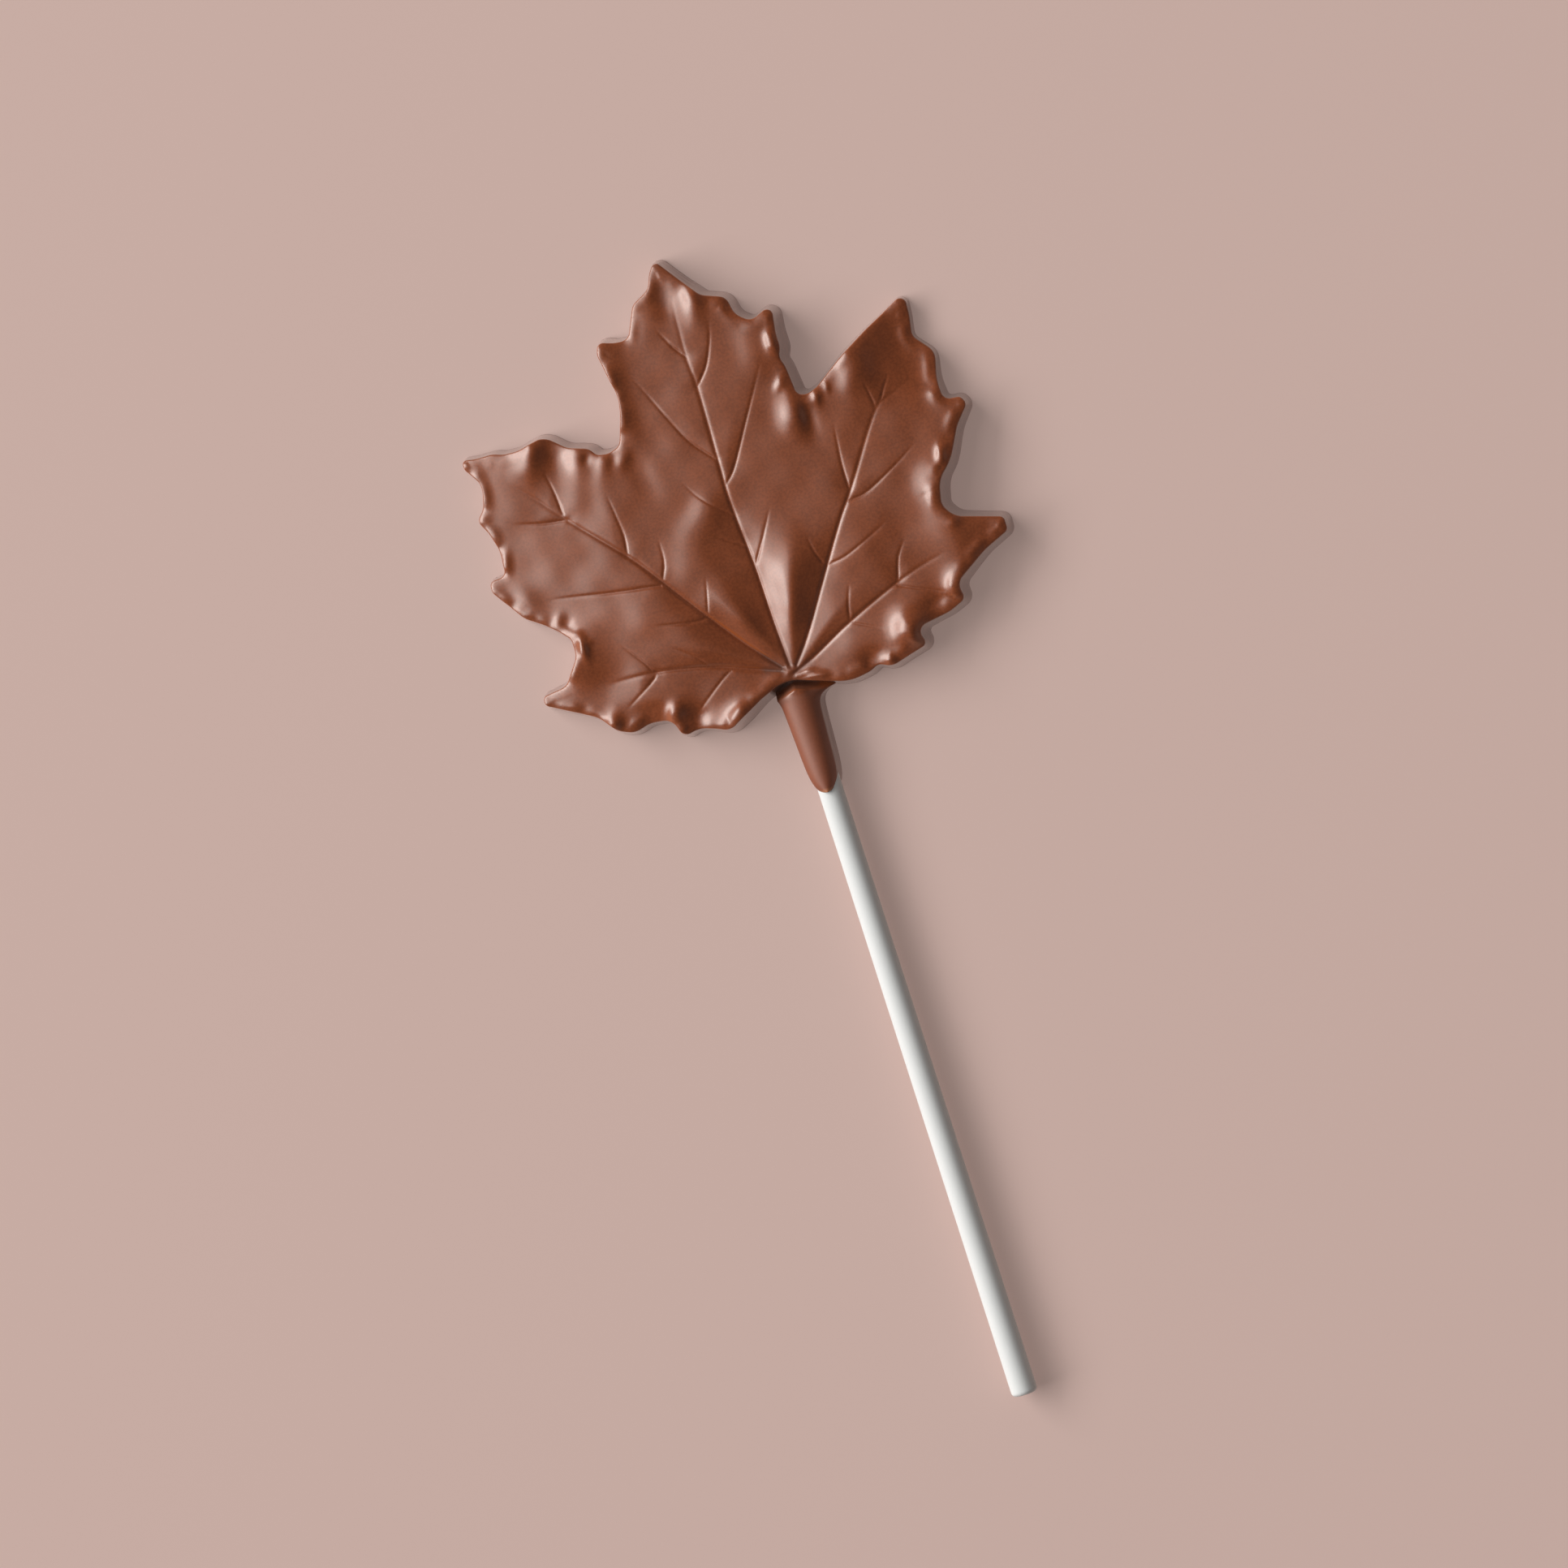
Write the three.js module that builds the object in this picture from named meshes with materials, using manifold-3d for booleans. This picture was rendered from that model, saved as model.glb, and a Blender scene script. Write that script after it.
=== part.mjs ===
// A maple leaf lollipop: one moulded chocolate leaf with its own short stem, cast round a rolled paper stick.
// It lies on its flat back with the veined face up. Lengths are in millimetres.
// The origin is on the back, under the hub where the main veins meet. The stick lies along -Y.
import * as THREE from "three";
import { mergeVertices } from "three/addons/utils/BufferGeometryUtils.js";
import Module from "manifold-3d";

// The leaf as a moulded plate.
const LEAF_THICK = 7.05; // from the flat back to the face, away from bumps and veins
const DRAFT = 1.0; // how much further the side walls reach at the back than at the face
const RIM_RADIUS = 0.5; // rounding between the face and the side wall
const BEVEL = 0.2; // how far the face falls towards its rim
const BEVEL_REACH = 0.8; // over about this distance
const CROWN = 1.3; // how much lower the far lobes lie than the middle of the leaf
const CROWN_CENTRE = [-1, 26];
const CROWN_REACH = 42;

// The paper stick: 4 mm across and four and a half inches long.
const STICK_LENGTH = 114.3;
const STICK_RADIUS_IN = 1.94; // at the end that the chocolate holds
const STICK_RADIUS_OUT = 2.06; // at the free end
const STICK_EDGE = 0.7; // rounding of its free end
const STICK_HELD_EDGE = 0.25; // rounding of its held end
const STICK_Z = 2.9; // height of its axis over the back of the leaf
const STICK_TOP_Y = -3.3; // where its held end stops, inside the stem
const SOCKET_GAP = 0.2; // clearance between the stick and the chocolate round it

// The chocolate stem: a drafted bar with a round top that narrows to a rounded tongue over the stick.
const STEM_X = -0.28; // the stem sits a little to the left of the stick's axis
const STEM_INSIDE_Y = 3; // it starts inside the leaf
const STEM_ROOT_Y = -4.6; // where it leaves the leaf's wall
const STEM_END_Y = -19.6;
const STEM_HALF_WIDTH = 3.4; // at its root
const STEM_TAPER = 0.055; // how much narrower each half is for each millimetre along
const STEM_TOP = 5.7;
const STEM_DROOP = 0.25; // how much lower its top is at the very end
const STEM_SIDE_SHARE = 0.55; // share of its height that is side wall before the round top begins
const STEM_SIDE_LEAN = 0.11; // share of its half width by which each side wall leans in
const STEM_NOSE = 6.5; // length of the rounded end
const STEM_NOSE_POWER = 3.2; // its plan is fuller than an ellipse, whose power is 2
const STEM_TIP = 0.2; // share of the half width left at the very end
const STEM_FLARE = 1.2; // how far its right side spreads at its root, where it meets the leaf
const STEM_FLARE_LEFT = 0.12; // share of that spread on its left side
const STEM_FLARE_REACH = 0.6;
const STEM_FLARE_FULL = 0.62; // the spread is full up to this share of the stem's height
const STEM_FLARE_TOP = 0.92; // and has faded out at this share
const STEM_DIP = 2.0; // how far its top falls towards the leaf's rim, from STEM_DIP_Y over STEM_DIP_REACH
const STEM_DIP_Y = -3.3;
const STEM_DIP_REACH = 1.6;
const STEM_DIP_LEAN = 0.3; // the dip starts this much further along for each millimetre off the middle
const SOCKET_PAST = 5; // the socket's cutter runs this far out of the stem's end

// Mesh sizes.
const RIM_STEP = 1.25; // longest step along the rim
const RIM_TURN = 0.6; // most radians that one step turns in a tip or a notch
const RIM_ROWS = [50, 0]; // degrees over level where the rim's rounding has its rows; the face's edge is at 90
const MIN_RADIUS = 0.15; // tightest rounding left where an offset eats a corner
const FACE_STEP = 1.2; // spacing of the honeycomb of points that carries the face's relief
const FACE_RIM_CLEAR = 0.9; // honeycomb points keep this far from the rim
const VEIN_STEP = 1.5; // spacing of the points along a vein
const VEIN_MERGE = 0.5; // vein points closer together than this are one point
const VEIN_CLEAR = 0.8; // honeycomb points keep this far from a vein's points, and those from the rim
const VEIN_INSIDE = 0.04; // an edge point of one vein that lies deeper than this in another vein is left out
const STEM_STEP = 0.8; // spacing of the stem's sections
const STEM_NOSE_STEPS = 8;
const STEM_ARC_STEPS = 12; // steps over the stem's round top
const STEM_DIP_STEPS = 4;
const STICK_EDGE_STEPS = 4;
const STICK_SIDES = 32;
const SAME_PLACE = 1e-4; // vertices closer together than this are one vertex

// The rim of the face, anticlockwise from the notch over the stem. Each corner is [x, y, radius of its
// rounding].
const LOWER_RIGHT_LOBE = [
  [-1.2, -1.1, 6], [8.4, -4.4, 8], [11.9, -3.9, 4], [13.3, -3.15, 1.5], [15.4, -4.15, 2.5], [18.5, -3.3, 8],
  [21.5, -2.55, 0.9], [20.9, 0.3, 1.4], [26.4, 1.15, 8], [29.2, 2.3, 1.1], [28.9, 5.0, 2.0], [34.3, 8.5, 12],
  [38.6, 10.3, 1.0], [38.6, 12.5, 0.9], [31.6, 14.8, 3.5],
];
const UPPER_RIGHT_LOBE = [
  [30.2, 17.0, 2.2], [31.1, 20.8, 5], [33.6, 23.2, 9], [36.0, 27.8, 8], [38.5, 30.7, 1.3], [37.8, 32.0, 0.9],
  [35.3, 32.3, 1.3], [35.1, 35.6, 9], [36.1, 39.8, 2.6], [33.4, 43.1, 1.8], [34.0, 46.5, 9], [34.2, 49.9, 1.2],
  [27.0, 46.2, 20], [21.8, 43.1, 12], [17.4, 40.1, 2.5], [15.7, 39.45, 2],
];
const TOP_LOBE = [
  [14.2, 40.0, 1.8], [13.8, 44.6, 6], [13.3, 46.3, 2], [14.0, 47.6, 3], [14.0, 50.0, 10], [14.6, 54.4, 0.95],
  [10.9, 52.8, 1.8], [8.8, 54.6, 3], [8.2, 57.6, 1.8], [4.7, 59.0, 2.5], [2.4, 62.0, 20], [-0.66, 66.3, 1.2],
  [-2.0, 64.6, 2.5], [-2.9, 62.3, 2.5], [-5.9, 60.8, 2.0], [-8.1, 56.0, 1.6], [-10.2, 56.1, 6],
  [-12.8, 57.0, 1.2], [-13.4, 55.2, 2], [-12.2, 48.2, 7], [-12.7, 45.3, 9], [-14.4, 40.9, 1.6],
];
const UPPER_LEFT_LOBE = [
  [-16.4, 40.25, 3], [-18.2, 40.6, 1.5], [-19.2, 42.0, 2.0], [-22.4, 43.1, 4], [-24.9, 45.4, 3],
  [-26.2, 45.75, 1.5], [-29.8, 45.0, 6], [-32.4, 45.2, 5], [-33.8, 45.8, 5], [-36.7, 45.9, 8],
  [-38.9, 46.35, 1.0], [-38.9, 44.8, 1.2], [-37.2, 42.3, 2.5], [-37.15, 40.8, 4], [-37.9, 38.3, 4],
  [-39.5, 36.6, 1.2],
  [-38.3, 34.3, 6], [-37.5, 31.2, 8], [-37.9, 27.3, 1.2], [-40.7, 27.2, 0.95], [-40.8, 25.5, 1.5],
  [-38.2, 21.7, 20], [-37.1, 20.1, 4], [-34.5, 18.3, 12], [-32.6, 16.7, 9], [-30.9, 14.9, 1.6],
];
const LOWER_LEFT_LOBE = [
  [-30.8, 12.1, 3], [-34.0, 8.2, 2.5], [-38.2, 7.75, 0.9], [-38.2, 6.3, 0.9], [-33.7, 3.8, 20], [-30.6, 2.0, 6],
  [-28.3, -0.9, 3], [-26.0, -1.9, 3], [-23.3, -1.2, 4], [-20.7, -1.5, 3], [-19.6, -2.3, 2], [-18.8, -4.8, 1.2],
  [-16.2, -4.2, 5], [-13.6, -5.1, 8], [-11.5, -6.0, 3], [-8.4, -4.4, 10], [-5.6, -2.9, 4],
];
const RIM_CORNERS = [
  ...LOWER_RIGHT_LOBE, ...UPPER_RIGHT_LOBE, ...TOP_LOBE, ...UPPER_LEFT_LOBE, ...LOWER_LEFT_LOBE,
];

// Each kind of vein is a groove in a soft valley: [the groove's depth and half width where it starts, then the
// valley's depth and reach]. They fade to the vein's far end.
const MAIN = [0.4, 0.5, 1.1, 3.6];
const BRANCH = [0.25, 0.38, 0.35, 2.2];
const FAINT = [0.16, 0.35, 0.12, 1.8];
const VEINS = [
  [MAIN, [[0.2, 0.8], [-0.1, 8], [-0.2, 17], [-0.7, 27], [-0.5, 34], [-0.1, 45.5], [-0.35, 50.8], [0.1, 60]]],
  [BRANCH, [[0.0, 17.1], [2.5, 20.8], [4.9, 24.9]]],
  [BRANCH, [[-0.3, 30.4], [1.4, 32.1], [5.4, 38.4], [10.4, 46.4]]],
  [BRANCH, [[-0.1, 45.9], [1.0, 46.9], [2.5, 48.9], [4.0, 52.3], [4.7, 55]]],
  [FAINT, [[-0.7, 25.3], [-3.0, 27.3], [-5.4, 30], [-7, 32.7]]],
  [BRANCH, [[-0.7, 34.3], [-3.7, 38], [-5.7, 42], [-9.4, 50.4]]],
  [BRANCH, [[-0.4, 50.8], [-1.9, 52.8], [-3.6, 56.2]]],
  [FAINT, [[-0.6, 20.3], [-3, 22], [-5.4, 23.9]]],
  [MAIN, [
    [1.2, 0.5], [4.2, 4.3], [10.0, 12.9], [14.3, 19.2], [18.3, 24.6], [24.7, 33.8], [27.6, 35.4],
    [31.5, 36.9],
  ]],
  [FAINT, [[10, 14.3], [9.3, 16.5], [9.0, 18.8]]],
  [BRANCH, [[10.5, 13.7], [13.6, 14.1], [18.3, 15.9], [21.3, 17.3]]],
  [BRANCH, [[17.4, 23.8], [17.5, 28], [18.2, 34]]],
  [BRANCH, [[16.6, 22.0], [19.9, 22.5], [25.3, 25.1], [29.1, 27.3]]],
  [FAINT, [[26.1, 35.2], [27.2, 37], [28.4, 38.8]]],
  [FAINT, [[25.0, 34.6], [24.8, 36.5], [24.5, 38.6]]],
  [MAIN, [[0.5, -0.6], [4.2, 0.9], [10.5, 4.0], [18.3, 7.2], [23.7, 9], [28.3, 10]]],
  [BRANCH, [[11.3, 4.7], [11.8, 7], [12.9, 10]]],
  [FAINT, [[11.1, 4.3], [13.5, 3], [16, 1.7]]],
  [BRANCH, [[20.2, 8.1], [21.3, 11.4], [23.1, 13.9]]],
  [FAINT, [[19.9, 7.4], [23.3, 5.8], [26.8, 4.2]]],
  [MAIN, [
    [-1.0, 0.8], [-5.2, 5.9], [-9.4, 11.6], [-14.6, 19.1], [-18.5, 24.4], [-25.7, 32.4], [-29.5, 37],
    [-33.2, 41],
  ]],
  [BRANCH, [[-25.8, 32.6], [-29.7, 33.2], [-33.9, 34.4]]],
  [BRANCH, [[-26.2, 33.6], [-26.4, 37.2], [-27, 40.8]]],
  [BRANCH, [[-18.4, 24.6], [-18, 28], [-18.6, 34.4]]],
  [BRANCH, [[-14.9, 18.5], [-21.7, 19.6], [-27.7, 20.8], [-32.4, 21.7]]],
  [BRANCH, [[-14.4, 19.2], [-13.3, 21.8], [-13.1, 25.3]]],
  [FAINT, [[-9.4, 12], [-8.5, 15], [-7.8, 17.8]]],
  [BRANCH, [[-9.4, 11.5], [-12.4, 11.7], [-17.9, 12.9]]],
  [MAIN, [[-1.4, 0.3], [-6.1, 2.2], [-11.3, 4.2], [-19.7, 6], [-28, 6.5]]],
  [BRANCH, [[-8.5, 2.9], [-10.6, 1.7], [-15.8, -2]]],
  [FAINT, [[-11.5, 4.3], [-13.1, 6.3], [-16.2, 8.9]]],
  [FAINT, [[-20.2, 6.2], [-21.1, 8], [-23.8, 11.7]]],
  [BRANCH, [[-19.7, 6.0], [-20.9, 4.8], [-25.9, 2.0]]],
];
const VALLEY_MERGE = 10; // how sharply the valleys of neighbouring veins meet
const VALLEY_ROUND = 0.12; // how round a valley's bottom is, as a share of its reach
const VALLEY_FADE = [0.85, 0.15, 0.65]; // share of its depth that it loses, between these shares of its length

// Soft bumps and hollows of the face: [x, y, half length, half width, direction in degrees, rise].
const PUCKERS = [
  // whole lobes: the left ones rise from their rims, the upper right one falls to its right rim
  [-46, 26, 30, 17, 100, -2.3], [34.0, 44.5, 11, 7.6, 98, -3.3], [-17, 14, 10, 6, 130, 0.9],
  [24.1, 41.0, 4.6, 2.4, 97, 0.8], [-9.2, 21.4, 4.0, 3.0, 70, 0.6], [-4.9, 26.9, 3.6, 2.7, 50, 0.7],
  [-18.0, 31.0, 7, 4, 100, 0.5], [-21.5, 3.6, 4.5, 4, 90, 0.5], [0.5, 44, 16, 7, 88, 0.5],
  [14.5, 17, 8, 5, 55, 0.5],
  // top lobe
  [3.7, 59.2, 3.0, 1.8, 70, 0.95], [-4.9, 57.0, 3.0, 1.8, 75, 0.1], [-1.2, 60.2, 3.5, 1.8, 85, -0.65],
  [-13.2, 50.5, 6.5, 2.6, 86, 1.2], [-12.8, 44.0, 3.5, 2.0, 100, 0.4], [8.6, 56.6, 1.8, 1.3, 60, -0.4],
  [13.3, 48.4, 3.0, 1.3, 84, 0.9], [10.0, 48.5, 6.0, 2.6, 76, 0.45], [12.6, 45.5, 1.6, 1.0, 90, -0.3],
  // upper left lobe and its notch
  [-24.6, 42.4, 3.6, 2.2, 95, -0.75], [-31.8, 42.5, 4.5, 3.5, 95, 0.32],
  [-21.3, 40.4, 2.2, 1.3, 75, 0.25], [-22.6, 37.0, 3.4, 2.0, 80, 0.2],
  [-17.6, 39.0, 1.9, 1.2, 70, 0.36],
  [-12.6, 36, 4.0, 2.0, 100, -0.3],
  [-37.2, 41.3, 2.8, 1.0, 88, 0.32],
  [-40.0, 46.5, 2.5, 2.5, 0, -0.3],
  // left notch
  [-35.8, 22.8, 3.0, 1.5, 113, 0.4],
  [-31.0, 12.0, 4.2, 4.4, 85, 1.5],
  // lower left lobe
  [-28.6, 0.7, 1.8, 1.3, 60, 0.8], [-22.3, -0.9, 3.2, 2.2, 10, -0.7], [-18.8, -0.6, 1.6, 1.3, 60, 0.9],
  [-15.9, -3.0, 2.6, 1.8, 70, -0.9], [-9.2, -4.6, 2.8, 2.2, 35, 1.5], [-5.0, -2.0, 2.0, 1.0, 12, 0.5],
  // lower right lobe
  [12.6, -2.2, 2.0, 1.6, 0, -0.6], [19.7, 0.6, 2.8, 2.6, 60, 1.9],
  [24.8, 2.6, 2.0, 1.6, 20, -0.5], [29.1, 5.2, 2.3, 2.0, 60, 1.05], [30.3, 12.8, 6.0, 3.2, 90, 1.0],
  // right notches
  [13.0, 37.4, 3.4, 2.4, 80, 1.15], [14.9, 36.6, 2.8, 1.2, 90, -0.6],
  [22.3, 39.2, 2.4, 1.6, 85, 0.45],
  [30.8, 20.6, 3.6, 3.2, 80, 1.25],
  [35.0, 34.0, 2.6, 2.0, 60, 0.45],
];

// Long soft folds, each with a straight crest: [where it starts and ends, how far the fold reaches to each side
// at its start and at its end, rise halfway along].
const FOLDS = [
  // between the main veins
  [0.2, -0.3, 9.4, 28, 0.8, 9, 1.3], [-0.6, -0.3, -10.4, 23, 0.6, 6.4, 0.85], [-1.4, 1, -20, 13, 0.4, 6.4, 0.3],
  // over the left notch
  [-25.6, 51, -30.8, 36, 2.6, 3.8, 0.9],
];
const FOLD_ROUND = 0.26; // how round a fold's crest is, as a share of its reach

const CHOCOLATE = { color: 0x7a432c, roughness: 0.38, metalness: 0 };
const PAPER = { color: 0xf1f0ea, roughness: 0.85, metalness: 0 };

const wasm = await Module();
wasm.setup();

// Whether [x, y] lies inside a polygon, by counting the sides that a ray to +X crosses.
function inside(polygon, x, y) {
  let odd = false;
  for (let i = 0, j = polygon.length - 1; i < polygon.length; j = i++) {
    const [ax, ay] = polygon[i];
    const [bx, by] = polygon[j];
    if (ay > y !== by > y && x < ((bx - ax) * (y - ay)) / (by - ay) + ax) odd = !odd;
  }
  return odd;
}

// The closed outline of the corners, moved outwards by offset. Every offset gives the same number of points:
// each corner is an arc whose radius grows or shrinks with the offset, and each side is a straight row.
function outline(corners, offset) {
  const n = corners.length;
  const at = (i) => new THREE.Vector2(...corners[(i + n) % n]);
  const arcs = corners.map(([, , radius], i) => {
    const along = at(i).sub(at(i - 1));
    const onward = at(i + 1).sub(at(i));
    const room = 0.5 * Math.min(along.length(), onward.length());
    const u = along.normalize();
    const v = onward.normalize();
    const turn = Math.atan2(u.cross(v), u.dot(v));
    const slope = Math.abs(Math.tan(turn / 2));
    const own = Math.min(radius, room / slope);
    const r = Math.max(own + Math.sign(turn) * offset, MIN_RADIUS);
    const outwards = new THREE.Vector2(u.y + v.y, -u.x - v.x).divideScalar(1 + u.dot(v));
    const corner = at(i).addScaledVector(outwards, offset);
    const start = corner.clone().addScaledVector(u, -r * slope);
    const inwards = new THREE.Vector2(-u.y, u.x).multiplyScalar(Math.sign(turn));
    const length = Math.abs(turn) * own;
    const steps = Math.max(1, Math.ceil(Math.abs(turn) / RIM_TURN), Math.ceil(length / RIM_STEP));
    const points = [];
    for (let k = 0; k <= steps; k++) {
      const a = (Math.abs(turn) * k) / steps;
      const point = start.clone().addScaledVector(u, r * Math.sin(a));
      points.push(point.addScaledVector(inwards, r * (1 - Math.cos(a))));
    }
    return { points, cut: own * slope };
  });
  const ring = [];
  arcs.forEach(({ points, cut }, i) => {
    const next = arcs[(i + 1) % n];
    ring.push(...points);
    const straight = at(i + 1).distanceTo(at(i)) - cut - next.cut;
    const steps = Math.ceil((straight - SAME_PLACE) / RIM_STEP);
    for (let k = 1; k < steps; k++) ring.push(points.at(-1).clone().lerp(next.points[0], k / steps));
    if (steps <= 0) ring.pop(); // two arcs that touch share their point
  });
  return ring.map((p) => [p.x, p.y]);
}

// Delaunay triangles of a set of [x, y] points, added one at a time to one triangle far round them all: each
// new point clears the triangles whose circumcircle holds it and joins the rim of that hole.
function delaunay(points) {
  const far = 1e4;
  const onCircle = 1e-12;
  const p = [...points, [-far, -far], [far, -far], [0, far]];
  const triangle = (a, b, c) => {
    const [ax, ay] = p[a];
    const [bx, by] = [p[b][0] - ax, p[b][1] - ay];
    const [cx, cy] = [p[c][0] - ax, p[c][1] - ay];
    const d = 2 * (bx * cy - by * cx);
    const ux = (cy * (bx * bx + by * by) - by * (cx * cx + cy * cy)) / d;
    const uy = (bx * (cx * cx + cy * cy) - cx * (bx * bx + by * by)) / d;
    return { v: [a, b, c], x: ax + ux, y: ay + uy, rr: ux * ux + uy * uy };
  };
  let triangles = [triangle(p.length - 3, p.length - 2, p.length - 1)];
  points.forEach(([x, y], i) => {
    const open = new Map();
    triangles = triangles.filter((t) => {
      if ((t.x - x) ** 2 + (t.y - y) ** 2 >= t.rr * (1 - onCircle)) return true;
      for (let k = 0; k < 3; k++) {
        const a = t.v[k];
        const b = t.v[(k + 1) % 3];
        if (!open.delete(b + "," + a)) open.set(a + "," + b, [a, b]);
      }
      return false;
    });
    for (const [a, b] of open.values()) triangles.push(triangle(a, b, i));
  });
  return triangles.map((t) => t.v).filter((v) => Math.max(...v) < points.length);
}

// Each vein as a row of places: position, direction across it, and its depth and half width there.
const veinRows = VEINS.map(([[depth, half], points]) => {
  const path = points.map(([x, y]) => new THREE.Vector3(x, y, 0));
  const curve = new THREE.CatmullRomCurve3(path, false, "centripetal");
  const steps = Math.max(2, Math.round(curve.getLength() / VEIN_STEP));
  return Array.from({ length: steps + 1 }, (_, k) => {
    const s = k / steps;
    const at = curve.getPointAt(s);
    const along = curve.getTangentAt(s);
    const fade = { depth: depth * (1 - s ** 2), half: half * (1 - 0.5 * s) };
    return { x: at.x, y: at.y, nx: -along.y, ny: along.x, s, ...fade };
  });
});

// How far the veins lower the face at [x, y]: the deepest groove there, and the soft valleys.
function veinDrop(x, y) {
  const [fadeDepth, fadeStart, fadeEnd] = VALLEY_FADE;
  let groove = 0;
  let valleys = 0;
  veinRows.forEach((row, index) => {
    const [, , valleyDepth, reach] = VEINS[index][0];
    let nearest = { away: Infinity, share: 0 };
    for (let k = 0; k + 1 < row.length; k++) {
      const a = row[k];
      const b = row[k + 1];
      const [dx, dy] = [b.x - a.x, b.y - a.y];
      const t = Math.min(1, Math.max(0, ((x - a.x) * dx + (y - a.y) * dy) / (dx * dx + dy * dy)));
      const away = Math.hypot(x - a.x - t * dx, y - a.y - t * dy);
      const depth = a.depth + t * (b.depth - a.depth);
      const half = a.half + t * (b.half - a.half);
      groove = Math.max(groove, depth * Math.max(0, 1 - away / half));
      if (away < nearest.away) nearest = { away, share: a.s + t * (b.s - a.s) };
    }
    const fade = 1 - fadeDepth * THREE.MathUtils.smoothstep(nearest.share, fadeStart, fadeEnd);
    const valley = valleyDepth * fade * (1 - Math.tanh(Math.hypot(nearest.away / reach, VALLEY_ROUND)));
    valleys += valley ** VALLEY_MERGE;
  });
  return { groove, valley: valleys ** (1 / VALLEY_MERGE) };
}

// How far a fold lifts the face at [x, y].
function foldRise(x, y, [x0, y0, x1, y1, startReach, endReach, rise]) {
  const length = Math.hypot(x1 - x0, y1 - y0);
  const share = THREE.MathUtils.clamp(((x - x0) * (x1 - x0) + (y - y0) * (y1 - y0)) / length ** 2, 0, 1);
  const across = ((x - x0) * (y1 - y0) - (y - y0) * (x1 - x0)) / length;
  const reach = startReach + (endReach - startReach) * share;
  const u = Math.hypot(across / reach, FOLD_ROUND) - FOLD_ROUND;
  return rise * Math.sin(Math.PI * share) ** 3 * Math.max(0, 1 - u) ** 2;
}

// Height of the face over the back at [x, y], which lies rimDistance inside the face's edge.
function faceHeight(x, y, rimDistance) {
  const [cx, cy] = CROWN_CENTRE;
  let height = LEAF_THICK - (CROWN * ((x - cx) ** 2 + (y - cy) ** 2)) / CROWN_REACH ** 2;
  height -= BEVEL * Math.exp(-(rimDistance + RIM_RADIUS) / BEVEL_REACH);
  for (const [px, py, length, width, degrees, rise] of PUCKERS) {
    const angle = THREE.MathUtils.degToRad(degrees);
    const along = (x - px) * Math.cos(angle) + (y - py) * Math.sin(angle);
    const across = (y - py) * Math.cos(angle) - (x - px) * Math.sin(angle);
    height += rise * Math.exp(-((along / length) ** 2) - (across / width) ** 2);
  }
  for (const fold of FOLDS) height += foldRise(x, y, fold);
  const { groove, valley } = veinDrop(x, y);
  return height - groove - valley;
}

// Flat places of the face's points: its rim, the middle and both edges of each vein, and a honeycomb between
// them.
function facePoints(rim) {
  const near = (list, x, y, gap) => list.some(([px, py]) => (px - x) ** 2 + (py - y) ** 2 < gap * gap);
  const veins = [];
  for (const side of [0, 1, -1])
    for (const row of veinRows)
      for (const { x, y, nx, ny, half } of row) {
        const [px, py] = [x + side * half * nx, y + side * half * ny];
        if (!inside(rim, px, py) || near(rim, px, py, VEIN_CLEAR)) continue;
        if (near(veins, px, py, side ? SAME_PLACE + 0.7 * half : VEIN_MERGE)) continue;
        if (side && veinDrop(px, py).groove > VEIN_INSIDE) continue;
        veins.push([px, py]);
      }
  const box = new THREE.Box2().setFromPoints(rim.map(([x, y]) => new THREE.Vector2(x, y)));
  const rowStep = FACE_STEP * Math.sqrt(0.75);
  const honeycomb = [];
  for (let j = 0; box.min.y + j * rowStep < box.max.y; j++)
    for (let x = box.min.x + (j % 2) * 0.5 * FACE_STEP; x < box.max.x; x += FACE_STEP) {
      const y = box.min.y + j * rowStep;
      const clear = !near(rim, x, y, FACE_RIM_CLEAR) && !near(veins, x, y, VEIN_CLEAR);
      if (!inside(rim, x, y) || !clear) continue;
      honeycomb.push([x, y]);
    }
  return [...rim, ...veins, ...honeycomb];
}

// A manifold solid from a list of [x, y, z] vertices and a list of triangles.
function solid(vertices, triangles) {
  return new wasm.Manifold(
    new wasm.Mesh({
      numProp: 3,
      vertProperties: new Float32Array(vertices.flat()),
      triVerts: new Uint32Array(triangles.flat()),
    }),
  );
}

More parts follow.
